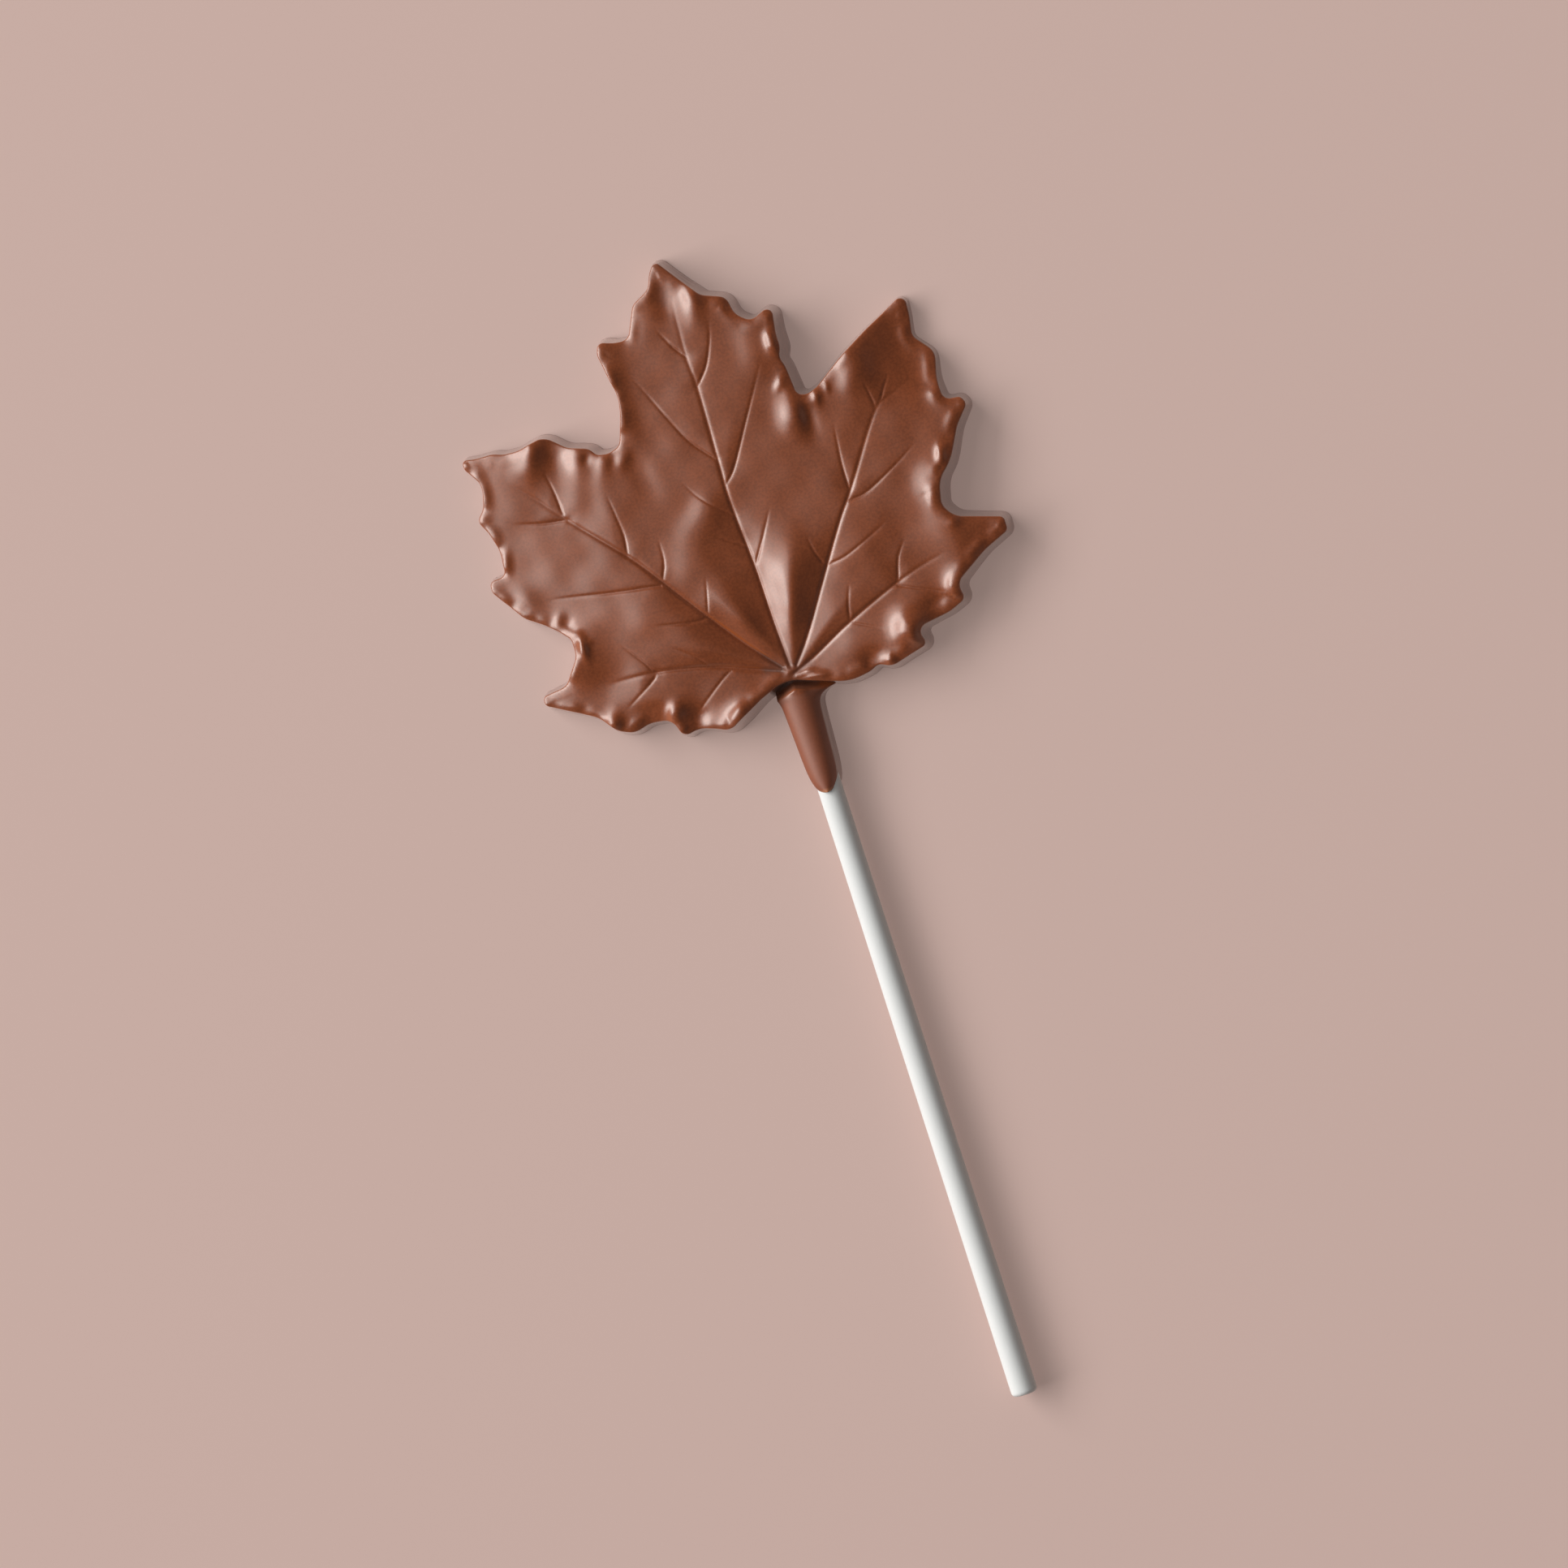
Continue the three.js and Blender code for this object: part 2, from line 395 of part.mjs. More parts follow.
// The leaf plate: the face over its own height, then row under row the rounded rim and the drafted wall, and
// the flat back.
function leafPlate() {
  const faceRing = outline(RIM_CORNERS, -RIM_RADIUS);
  const count = faceRing.length;
  const points = facePoints(faceRing);
  const face = delaunay(points).filter((v) => {
    const [x, y] = [0, 1].map((k) => (points[v[0]][k] + points[v[1]][k] + points[v[2]][k]) / 3);
    return inside(faceRing, x, y);
  });
  const rimDistance = (x, y) => Math.min(...faceRing.map(([rx, ry]) => Math.hypot(rx - x, ry - y)));
  const vertices = points.map(([x, y]) => [x, y, faceHeight(x, y, rimDistance(x, y))]);
  const triangles = [...face];
  let above = faceRing.map((_, i) => i);
  const lower = (ring, height) => {
    const first = vertices.length;
    ring.forEach(([x, y], i) => vertices.push([x, y, height(i)]));
    const below = ring.map((_, i) => first + i);
    below.forEach((b, i) => {
      const j = (i + 1) % count;
      triangles.push([above[i], b, below[j]], [above[i], below[j], above[j]]);
    });
    above = below;
  };
  for (const degrees of RIM_ROWS) {
    const angle = THREE.MathUtils.degToRad(degrees);
    const ring = outline(RIM_CORNERS, -RIM_RADIUS * (1 - Math.cos(angle)));
    lower(ring, (i) => vertices[i][2] - RIM_RADIUS * (1 - Math.sin(angle)));
  }
  const backRing = outline(RIM_CORNERS, DRAFT);
  lower(backRing, () => 0);
  const corners = backRing.map(([x, y]) => new THREE.Vector2(x, y));
  const back = THREE.ShapeUtils.triangulateShape(corners, []);
  for (const [a, b, c] of back) triangles.push([above[a], above[c], above[b]]);
  return solid(vertices, triangles);
}

// Half width, spread at the root and height of the stem at y: it narrows along its length, and its end is round
// in plan.
function stemSection(y) {
  const past = Math.max(0, STEM_ROOT_Y - y);
  const nose = Math.max(0, STEM_END_Y + STEM_NOSE - y) / STEM_NOSE;
  const share = Math.max(STEM_TIP, (1 - nose ** STEM_NOSE_POWER) ** (1 / STEM_NOSE_POWER));
  return {
    half: (STEM_HALF_WIDTH - STEM_TAPER * past) * share,
    flare: STEM_FLARE * Math.exp(Math.min(1, (y - STEM_ROOT_Y) / STEM_FLARE_REACH)),
    top: STEM_TOP - STEM_DROOP * nose ** 2,
  };
}

// The stem: sections of a drafted bar with a round top, lofted along -Y and closed at both ends. Its top dips
// towards the leaf's rim. The sections stand closer together towards the tip.
function stemBar() {
  const shape = [[1, 0]];
  for (let k = 0; k <= STEM_ARC_STEPS; k++) {
    const a = (Math.PI * k) / STEM_ARC_STEPS;
    const height = STEM_SIDE_SHARE + (1 - STEM_SIDE_SHARE) * Math.sin(a);
    shape.push([(1 - STEM_SIDE_LEAN) * Math.cos(a), height]);
  }
  shape.push([-1, 0]);
  const noseY = STEM_END_Y + STEM_NOSE;
  const places = [STEM_INSIDE_Y];
  for (let k = STEM_DIP_STEPS; k >= 0; k--) places.push(STEM_DIP_Y + (STEM_DIP_REACH * k) / STEM_DIP_STEPS);
  for (let y = STEM_ROOT_Y; y > noseY; y -= STEM_STEP) places.push(y);
  for (let k = 0; k <= STEM_NOSE_STEPS; k++)
    places.push(noseY - STEM_NOSE * Math.sin((Math.PI / 2) * (k / STEM_NOSE_STEPS)));
  const vertices = [];
  for (const y of places) {
    const { half, flare, top } = stemSection(y);
    for (const [across, up] of shape) {
      const side = across < 0 ? -STEM_FLARE_LEFT : 1;
      const spread = side * flare * (1 - THREE.MathUtils.smoothstep(up, STEM_FLARE_FULL, STEM_FLARE_TOP));
      const off = across * half + spread;
      const into = (y - STEM_DIP_Y + STEM_DIP_LEAN * Math.abs(off)) / STEM_DIP_REACH;
      const dip = STEM_DIP * THREE.MathUtils.smoothstep(into, 0, 1);
      vertices.push([STEM_X + off, y, up * (top - dip)]);
    }
  }
  const n = shape.length;
  const triangles = [];
  for (let i = 0; i + 1 < places.length; i++)
    for (let k = 0; k < n; k++) {
      const [a, b] = [i * n + k, i * n + ((k + 1) % n)];
      triangles.push([a, b, a + n], [b, b + n, a + n]);
    }
  const last = (places.length - 1) * n;
  for (let k = 1; k + 1 < n; k++) {
    triangles.push([0, k + 1, k]);
    triangles.push([last, last + k, last + k + 1]);
  }
  return solid(vertices, triangles);
}

// A turned bar along -Y on the stick's axis, from y = top to y = bottom, with rounded ends.
function bar(top, bottom, radiusTop, radiusBottom, edgeTop, edgeBottom) {
  const length = top - bottom;
  const profile = [new THREE.Vector2(0, 0)];
  for (let k = 0; k <= STICK_EDGE_STEPS; k++) {
    const a = (Math.PI / 2) * (k / STICK_EDGE_STEPS);
    const [inwards, onwards] = [1 - Math.sin(a), 1 - Math.cos(a)];
    profile.push(new THREE.Vector2(radiusBottom - edgeBottom * inwards, edgeBottom * onwards));
  }
  for (let k = STICK_EDGE_STEPS; k >= 0; k--) {
    const a = (Math.PI / 2) * (k / STICK_EDGE_STEPS);
    const [inwards, back] = [1 - Math.sin(a), 1 - Math.cos(a)];
    profile.push(new THREE.Vector2(radiusTop - edgeTop * inwards, length - edgeTop * back));
  }
  profile.push(new THREE.Vector2(0, length));
  return new THREE.LatheGeometry(profile, STICK_SIDES).translate(0, bottom, STICK_Z);
}

// A manifold solid from a closed three.js geometry: its seams are merged and the slivers at its poles dropped.
function solidOf(geometry) {
  const bare = new THREE.BufferGeometry().setAttribute("position", geometry.getAttribute("position"));
  bare.setIndex(geometry.index);
  const merged = mergeVertices(bare, SAME_PLACE);
  const index = [...merged.index.array];
  const triangles = [];
  for (let i = 0; i < index.length; i += 3) {
    const [a, b, c] = index.slice(i, i + 3);
    if (a !== b && b !== c && a !== c) triangles.push([a, b, c]);
  }
  const array = merged.getAttribute("position").array;
  const count = array.length / 3;
  const vertices = Array.from({ length: count }, (_, i) => [...array.slice(3 * i, 3 * i + 3)]);
  return solid(vertices, triangles);
}

// A three.js geometry from a manifold solid.
function geometryOf(manifold) {
  const { vertProperties, triVerts, numProp } = manifold.getMesh();
  const positions = new Float32Array((vertProperties.length / numProp) * 3);
  for (let i = 0; i < positions.length / 3; i++)
    positions.set(vertProperties.subarray(i * numProp, i * numProp + 3), 3 * i);
  const geometry = new THREE.BufferGeometry();
  geometry.setAttribute("position", new THREE.BufferAttribute(positions, 3));
  geometry.setIndex(new THREE.BufferAttribute(triVerts, 1));
  geometry.computeVertexNormals();
  return geometry;
}

function named(name, geometry, finish) {
  const mesh = new THREE.Mesh(geometry, new THREE.MeshStandardMaterial(finish));
  mesh.name = name;
  return mesh;
}

// The leaf and its stem are one moulded piece, with a socket that leaves the stick free by a hair all round.
function chocolateLeaf() {
  const socketRadius = STICK_RADIUS_IN + SOCKET_GAP;
  const [top, bottom] = [STICK_TOP_Y + SOCKET_GAP, STEM_END_Y - SOCKET_PAST];
  const socket = bar(top, bottom, socketRadius, socketRadius, STICK_HELD_EDGE, STICK_HELD_EDGE);
  return geometryOf(leafPlate().add(stemBar()).subtract(solidOf(socket)));
}

function paperStick() {
  const bottom = STICK_TOP_Y - STICK_LENGTH;
  return bar(STICK_TOP_Y, bottom, STICK_RADIUS_IN, STICK_RADIUS_OUT, STICK_HELD_EDGE, STICK_EDGE);
}

const group = new THREE.Group();
group.add(named("chocolate_leaf", chocolateLeaf(), CHOCOLATE));
group.add(named("paper_stick", paperStick(), PAPER));

export default group;
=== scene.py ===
# A maple leaf lollipop: milk chocolate moulded with its own stem round a rolled paper stick, lying on its
# back. Shapes are worked out in millimetres in the part's frame and turned to metres as each mesh is made.
import bpy
import numpy as np
from mathutils import Matrix, Vector
from mathutils.geometry import delaunay_2d_cdt


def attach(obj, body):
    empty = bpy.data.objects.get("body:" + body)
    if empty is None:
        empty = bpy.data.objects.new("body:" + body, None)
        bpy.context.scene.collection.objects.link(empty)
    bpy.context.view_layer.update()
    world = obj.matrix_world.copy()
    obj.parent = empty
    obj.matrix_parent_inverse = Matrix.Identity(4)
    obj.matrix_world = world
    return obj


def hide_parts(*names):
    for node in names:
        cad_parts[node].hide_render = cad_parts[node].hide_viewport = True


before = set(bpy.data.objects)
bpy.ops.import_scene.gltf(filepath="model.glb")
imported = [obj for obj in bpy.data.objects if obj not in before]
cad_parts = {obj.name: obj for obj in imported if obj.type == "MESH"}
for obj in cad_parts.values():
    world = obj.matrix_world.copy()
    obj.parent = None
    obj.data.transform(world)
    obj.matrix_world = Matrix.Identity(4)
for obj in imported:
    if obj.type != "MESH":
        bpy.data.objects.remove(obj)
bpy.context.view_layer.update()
MM = 0.001

# The leaf as a moulded plate.
LEAF_THICK = 6.93
DRAFT = 0.92  # how much further the side walls reach at the back than at the face
RIM_RADIUS = 0.3
RIM_TILT = 20.0  # degrees that the face slopes at its rim, where the rounding starts
BEVEL = 0.2  # how far the face falls towards its rim
BEVEL_REACH = 0.8
BEAD_AWAY = 1.05  # a soft uneven bead runs round the face this far inside its rim,
BEAD_LEFT = 0.85  # but nearer by this share where the rim faces left,
BEAD_CALM = 0.6  # and lower by this share where it faces up
BEAD_HALF = 0.8
BEAD_RISE = 0.15
BEAD_WAVES = [(6.1, 0.3, 0.10), (3.7, 1.9, 0.06), (2.3, 4.0, 0.03)]  # swells: length, phase, rise
FOOT_RADIUS = 0.2  # rounding between the wall and the back
CROWN = 1.3  # the face falls this much from the middle of its dome to a place that lies this far off
CROWN_REACH = 42.0
CROWN_CENTRE = (-1.0, 26.0)

# How the valleys and folds of the face run out.
VALLEY_MERGE = 10.0  # power with which meeting valleys blend into the deeper one
VALLEY_ROUND = 0.12  # rounding of a valley's bottom, as a share of its reach
VALLEY_FADE_START = 0.15  # a valley gets shallower from this share of its vein's length,
VALLEY_FADE = 0.5  # over this share of it,
VALLEY_FADE_LOSS = 0.85  # by this share of its depth
VALLEY_SPAN = 3  # a valley is left out further off than this many times its reach
FOLD_ROUND = 0.07  # rounding of a fold's crest
FOLD_LOWER = 0.26  # takes that rounding off again at the crest itself

# The chocolate stem.
STEM_X = -0.28  # it sits a little to the left of the stick's axis
STEM_INSIDE_Y = 3.0  # it starts inside the leaf
STEM_ROOT_Y = -4.6
STEM_END_Y = -19.6
STEM_HALF_WIDTH = 3.4
STEM_TAPER = 0.055  # half width lost for each millimetre past the root
STEM_TOP = 5.7
STEM_DROOP = 0.25  # how far the top falls along the nose
STEM_SIDE_SHARE = 0.55  # share of the height up to which the sides are flat
STEM_SIDE_LEAN = 0.11  # share of the half width by which the sides lean in
STEM_NOSE = 6.5  # length of the rounded end
STEM_NOSE_POWER = 3.2  # its plan is fuller than an ellipse, whose power is 2
STEM_TIP = 0.06  # share of the half width left at the very end
STEM_FLARE = 1.2  # how far its right side spreads at its root, where it meets the leaf
STEM_FLARE_LEFT = 0.12  # share of that spread on its left side
STEM_FLARE_REACH = 0.6  # length over which the spread falls off away from the leaf
STEM_FLARE_FULL = 0.62  # the spread is full up to this share of the stem's height,
STEM_FLARE_TOP = 0.92  # and has faded out at this share
STEM_DIP = 2.0  # how far the top falls at the leaf's rim
STEM_DIP_Y = -3.3  # the dip starts here at the stem's middle,
STEM_DIP_LEAN = 0.3  # this much further out for each millimetre off the middle,
STEM_DIP_REACH = 1.6  # and is full after this length

# The paper stick.
STICK_LENGTH = 114.3
STICK_RADIUS_IN = 1.94
STICK_RADIUS_OUT = 2.06
STICK_Z = 2.9  # height of its axis over the back
STICK_TOP_Y = -3.3  # its held end
STICK_EDGE = 0.7  # rounding of its free end
STICK_HELD_EDGE = 0.25
PAPER_GAP = 0.02  # between the paper and the chocolate round it
SOCKET_PAST = 3.0  # the socket's cutter runs this far out of the stem's end

# Mesh sizes: steps along the rim, over the face and so on, and how many points each rounding has.
RIM_STEP = 0.3
RIM_TURN = 0.2  # largest turn between two points of the rim, in radians
RIM_POINTS = 6
WALL_POINTS = 9
MIN_RADIUS = 0.15
FACE_STEP = 0.3
PATH_PARTS = 24  # parts of each stretch of a path before it is stepped evenly
PATH_STEP = 1.0
VEIN_STEP = 0.2
# The rows of points along a vein lie this far off its middle, and a branch has the first nine.
VEIN_ROWS = np.array([0, -0.1, 0.1, -0.21, 0.21, -0.33, 0.33, -0.48, 0.48, -0.68, 0.68])
BRANCH_ROWS = VEIN_ROWS[:9]
VEIN_CLEAR = 0.15  # the honeycomb keeps this far off the outer rows,
ROW_CLEAR = 0.1  # rows of meeting veins this far off each other,
RIM_CLEAR = 0.18  # and all of them this far off the rim
BACK_STEP = 3.0
BACK_CLEAR = 0.8  # the back's points keep this far off its edge
STEM_STEP = 0.15
STEM_NOSE_POINTS = 25
STEM_ROUND_POINTS = 41
STEM_SIDE_POINTS = 9
STEM_FOOT_POINTS = 13
STEM_CAP_Z = 2.0  # height of the points that close the stem's ends
ROUND_SIDES = 96
STICK_EDGE_POINTS = 9
STICK_ROWS = 161
SHARP_ANGLE = np.radians(50)

# How many places are compared with the rim, or with the rows of points, in one go.
PLACES_AT_ONCE = 4000
VEIN_PLACES_AT_ONCE = 400

# The rim of the face, anticlockwise from the notch over the stem. Each corner is x, y and the radius of its
# rounding.
RIM_CORNERS = [
    (-1.2, -1.1, 6), (8.4, -4.4, 8), (11.9, -3.9, 4), (13.3, -3.15, 1.5), (15.4, -4.15, 2.5),
    (18.5, -3.3, 8), (21.5, -2.55, 0.9), (20.9, 0.3, 1.4), (26.4, 1.15, 8), (29.2, 2.3, 1.1),
    (28.9, 5.0, 2.0), (34.3, 8.5, 12), (38.6, 10.3, 1.0), (38.6, 12.5, 0.9), (31.6, 14.8, 3.5),
    (30.2, 17.0, 2.2), (31.1, 20.8, 5), (33.6, 23.2, 9), (36.0, 27.8, 8), (38.5, 30.7, 1.3),
    (37.8, 32.0, 0.9), (35.3, 32.3, 1.3), (35.1, 35.6, 9), (36.1, 39.8, 2.6), (33.4, 43.1, 1.8),
    (34.0, 46.5, 9), (34.2, 49.9, 1.2), (27.0, 46.2, 20), (21.8, 43.1, 12), (17.4, 40.1, 2.5),
    (15.7, 39.45, 2), (14.2, 40.0, 1.8), (13.8, 44.6, 6), (13.3, 46.3, 2), (14.0, 47.6, 3),
    (14.0, 50.0, 10), (14.6, 54.4, 0.95), (10.9, 52.8, 1.8), (8.8, 54.6, 3), (8.2, 57.6, 1.8),
    (4.7, 59.0, 2.5), (2.4, 62.0, 20), (-0.66, 66.3, 1.2), (-2.0, 64.6, 2.5), (-2.9, 62.3, 2.5),
    (-5.9, 60.8, 2.0), (-8.1, 56.0, 1.6), (-10.2, 56.1, 6), (-12.8, 57.0, 1.2), (-13.4, 55.2, 2),
    (-12.2, 48.2, 7), (-12.7, 45.3, 9), (-14.4, 40.9, 1.6), (-16.4, 40.25, 3), (-18.2, 40.6, 1.5),
    (-19.2, 42.0, 2.0), (-22.4, 43.1, 4), (-24.9, 45.4, 3), (-26.2, 45.75, 1.5), (-29.8, 45.0, 6),
    (-32.4, 45.2, 5), (-33.8, 45.8, 5), (-36.7, 45.9, 8), (-38.9, 46.35, 1.0), (-38.9, 44.8, 1.2),
    (-37.2, 42.3, 2.5), (-37.15, 40.8, 4), (-37.9, 38.3, 4), (-39.5, 36.6, 1.2), (-38.3, 34.3, 6),
    (-37.5, 31.2, 8), (-37.9, 27.3, 1.2), (-40.7, 27.2, 0.95), (-40.8, 25.5, 1.5),
    (-38.2, 21.7, 20), (-37.1, 20.1, 4), (-34.5, 18.3, 12), (-32.6, 16.7, 9), (-30.9, 14.9, 1.6),
    (-30.8, 12.1, 3), (-34.0, 8.2, 2.5), (-38.2, 7.75, 0.9), (-38.2, 6.3, 0.9), (-33.7, 3.8, 20),
    (-30.6, 2.0, 6), (-28.3, -0.9, 3), (-26.0, -1.9, 3), (-23.3, -1.2, 4), (-20.7, -1.5, 3),
    (-19.6, -2.3, 2), (-18.8, -4.8, 1.2), (-16.2, -4.2, 5), (-13.6, -5.1, 8), (-11.5, -6.0, 3),
    (-8.4, -4.4, 10), (-5.6, -2.9, 4),
]

# Each kind of vein: depth, half width and swell of its groove, then depth and reach of the valley that the
# face makes down to it.
MAIN = (0.17, 0.33, 0.4, 1.1, 3.6)
LEFT_MAIN = (0.28, 0.36, 0.0, 1.1, 3.6)
BRANCH = (0.12, 0.25, 0.0, 0.35, 2.2)
LEFT_BRANCH = (0.17, 0.27, 0.0, 0.35, 2.2)
FAINT = (0.10, 0.22, 0.0, 0.12, 1.8)
VEINS = [
    (MAIN, [
        (0.2, 0.8), (-0.1, 8), (-0.2, 17), (-0.7, 27), (-0.5, 34), (-0.1, 45.5), (-0.35, 50.8), (0.1, 60),
    ]),
    (BRANCH, [(0.0, 17.1), (2.5, 20.8), (4.9, 24.9)]),
    (BRANCH, [(-0.3, 30.4), (1.4, 32.1), (5.4, 38.4), (10.4, 46.4)]),
    (BRANCH, [(-0.1, 45.9), (1.0, 46.9), (2.5, 48.9), (4.0, 52.3), (4.7, 55)]),
    (FAINT, [(-0.7, 25.3), (-3.0, 27.3), (-5.4, 30), (-7, 32.7)]),
    (BRANCH, [(-0.7, 34.3), (-3.7, 38), (-5.7, 42), (-9.4, 50.4)]),
    (BRANCH, [(-0.4, 50.8), (-1.9, 52.8), (-3.6, 56.2)]),
    (FAINT, [(-0.6, 20.3), (-3, 22), (-5.4, 23.9)]),
    (MAIN, [
        (1.2, 0.5), (4.2, 4.3), (10.0, 12.9), (14.3, 19.2), (18.3, 24.6), (24.7, 33.8), (27.6, 35.4),
        (31.5, 36.9),
    ]),
    (FAINT, [(10, 14.3), (9.3, 16.5), (9.0, 18.8)]),
    (BRANCH, [(10.5, 13.7), (13.6, 14.1), (18.3, 15.9), (21.3, 17.3)]),
    (BRANCH, [(17.4, 23.8), (17.5, 28), (18.2, 34)]),
    (BRANCH, [(16.6, 22.0), (19.9, 22.5), (25.3, 25.1), (29.1, 27.3)]),
    (FAINT, [(26.1, 35.2), (27.2, 37), (28.4, 38.8)]),
    (FAINT, [(25.0, 34.6), (24.8, 36.5), (24.5, 38.6)]),
    (MAIN, [(0.5, -0.6), (4.2, 0.9), (10.5, 4.0), (18.3, 7.2), (23.7, 9), (28.3, 10)]),
    (BRANCH, [(11.3, 4.7), (11.8, 7), (12.9, 10)]),
    (FAINT, [(11.1, 4.3), (13.5, 3), (16, 1.7)]),
    (BRANCH, [(20.2, 8.1), (21.3, 11.4), (23.1, 13.9)]),
    (FAINT, [(19.9, 7.4), (23.3, 5.8), (26.8, 4.2)]),
    (LEFT_MAIN, [
        (-1.0, 0.8), (-5.2, 5.9), (-9.4, 11.6), (-14.6, 19.1), (-18.5, 24.4), (-25.7, 32.4), (-29.5, 37),
        (-33.2, 41),
    ]),
    (LEFT_BRANCH, [(-25.8, 32.6), (-29.7, 33.2), (-33.9, 34.4)]),
    (BRANCH, [(-26.2, 33.6), (-26.4, 37.2), (-27, 40.8)]),
    (BRANCH, [(-18.4, 24.6), (-18, 28), (-18.6, 34.4)]),
    (LEFT_BRANCH, [(-14.9, 18.5), (-21.7, 19.6), (-27.7, 20.8), (-32.4, 21.7)]),
    (BRANCH, [(-14.4, 19.2), (-13.3, 21.8), (-13.1, 25.3)]),
    (FAINT, [(-9.4, 12), (-8.5, 15), (-7.8, 17.8)]),
    (LEFT_BRANCH, [(-9.4, 11.5), (-12.4, 11.7), (-17.9, 12.9)]),
    (LEFT_MAIN, [(-1.4, 0.3), (-6.1, 2.2), (-11.3, 4.2), (-19.7, 6), (-28, 6.5)]),
    (BRANCH, [(-8.5, 2.9), (-10.6, 1.7), (-15.8, -2)]),
    (FAINT, [(-11.5, 4.3), (-13.1, 6.3), (-16.2, 8.9)]),
    (FAINT, [(-20.2, 6.2), (-21.1, 8), (-23.8, 11.7)]),
    (BRANCH, [(-19.7, 6.0), (-20.9, 4.8), (-25.9, 2.0)]),
]

# Soft bumps and hollows of the face: x, y, half length, half width, direction in degrees, rise.
PUCKERS = [
    # whole lobes: the left ones rise from their rims, the upper right one falls to its right rim
    (-46, 26, 30, 17, 100, -2.3), (34.0, 44.5, 11, 7.6, 98, -3.3), (-17, 14, 10, 6, 130, 0.9),
    (24.1, 41.0, 4.6, 2.4, 97, 0.8), (-9.2, 21.4, 4.0, 3.0, 70, 0.6), (-4.9, 26.9, 3.6, 2.7, 50, 0.7),
    (-18.0, 31.0, 7, 4, 100, 0.5), (-21.5, 3.6, 4.5, 4, 90, 0.5), (0.5, 44, 16, 7, 88, 0.5),
    (14.5, 17, 8, 5, 55, 0.5),
    # top lobe
    (3.5, 58.7, 3.2, 1.5, 75, 0.75), (-4.9, 57.0, 3.0, 1.8, 75, 0.1), (-1.2, 60.2, 3.5, 1.8, 85, -0.65),
    (-13.2, 50.5, 6.5, 2.6, 86, 1.2), (-12.8, 44.0, 3.5, 2.0, 100, 0.4),
    (8.6, 56.6, 1.8, 1.3, 60, -0.4), (13.3, 48.4, 3.0, 1.3, 84, 0.9), (10.0, 48.5, 6.0, 2.6, 76, 0.45),
    (12.0, 42.1, 1.0, 0.7, 45, 0.35), (12.6, 45.5, 1.6, 1.0, 90, -0.3),
    # upper left lobe and its notch
    (-24.6, 42.4, 3.6, 2.2, 95, -0.75), (-31.8, 42.5, 4.5, 3.5, 95, 0.32),
    (-21.3, 40.4, 2.2, 1.3, 75, 0.25), (-22.6, 37.0, 3.4, 2.0, 80, 0.2),
    (-20.0, 40.6, 1.1, 0.8, 60, -0.25), (-17.6, 39.0, 1.9, 1.2, 70, 0.36),
    (-18.6, 36.0, 3.0, 1.7, 80, 0.15), (-16.0, 39.2, 1.0, 0.7, 60, -0.2),
    (-14.4, 38.7, 1.5, 0.9, 50, 0.32), (-12.6, 36, 4.0, 2.0, 100, -0.3),
    (-37.2, 41.3, 2.8, 1.0, 88, 0.32), (-38.4, 36.8, 1.0, 0.9, 0, 0.28),
    (-37.6, 34.0, 1.2, 0.9, 100, 0.28), (-40.0, 46.5, 2.5, 2.5, 0, -0.3),
    (-37.0, 29.6, 1.6, 0.8, 75, 0.3),
    # left notch
    (-35.8, 22.8, 3.0, 1.5, 113, 0.4), (-32.0, 18.3, 1.2, 0.8, 55, 0.25),
    (-30.8, 17.3, 1.2, 0.8, 50, -0.18), (-30.2, 15.2, 0.9, 0.7, 20, 0.3),
    (-29.4, 13.1, 1.9, 0.75, 88, 0.75), (-28.2, 13.6, 0.5, 0.4, 0, 0.12),
    (-31.0, 12.0, 4.2, 4.4, 85, 1.5),
    # lower left lobe
    (-28.6, 0.7, 1.8, 1.3, 60, 0.8), (-22.3, -0.9, 3.2, 2.2, 10, -0.7),
    (-18.8, -0.6, 1.6, 1.3, 60, 0.9), (-15.9, -3.0, 2.6, 1.8, 70, -0.9),
    (-9.2, -4.6, 2.8, 2.2, 35, 1.5), (-5.0, -2.0, 2.0, 1.0, 12, 0.5),
    # lower right lobe
    (12.6, -2.2, 2.0, 1.6, 0, -0.6), (15.4, -3.2, 1.2, 0.8, 110, 0.4), (19.7, 0.6, 2.8, 2.6, 60, 1.9),
    (24.8, 2.6, 2.0, 1.6, 20, -0.5), (29.1, 5.2, 2.3, 2.0, 60, 1.05), (30.3, 12.8, 6.0, 3.2, 90, 1.0),
    # right notches
    (13.0, 37.4, 3.4, 2.4, 80, 1.15), (14.9, 36.6, 2.8, 1.2, 90, -0.6),
    (16.9, 38.6, 1.2, 0.6, 85, 0.35), (18.9, 39.6, 0.9, 0.45, 85, 0.25),
    (22.3, 39.2, 2.4, 1.6, 85, 0.45), (30.8, 20.6, 3.6, 3.2, 80, 1.25),
    (28.9, 19.4, 1.5, 0.35, 8, -0.05), (31.2, 14.0, 1.0, 0.8, 0, 0.3), (32.4, 24.8, 1.3, 0.7, 80, 0.45),
    (31.8, 22.4, 0.9, 0.7, 30, -0.3), (35.0, 34.0, 2.6, 2.0, 60, 0.45),
]

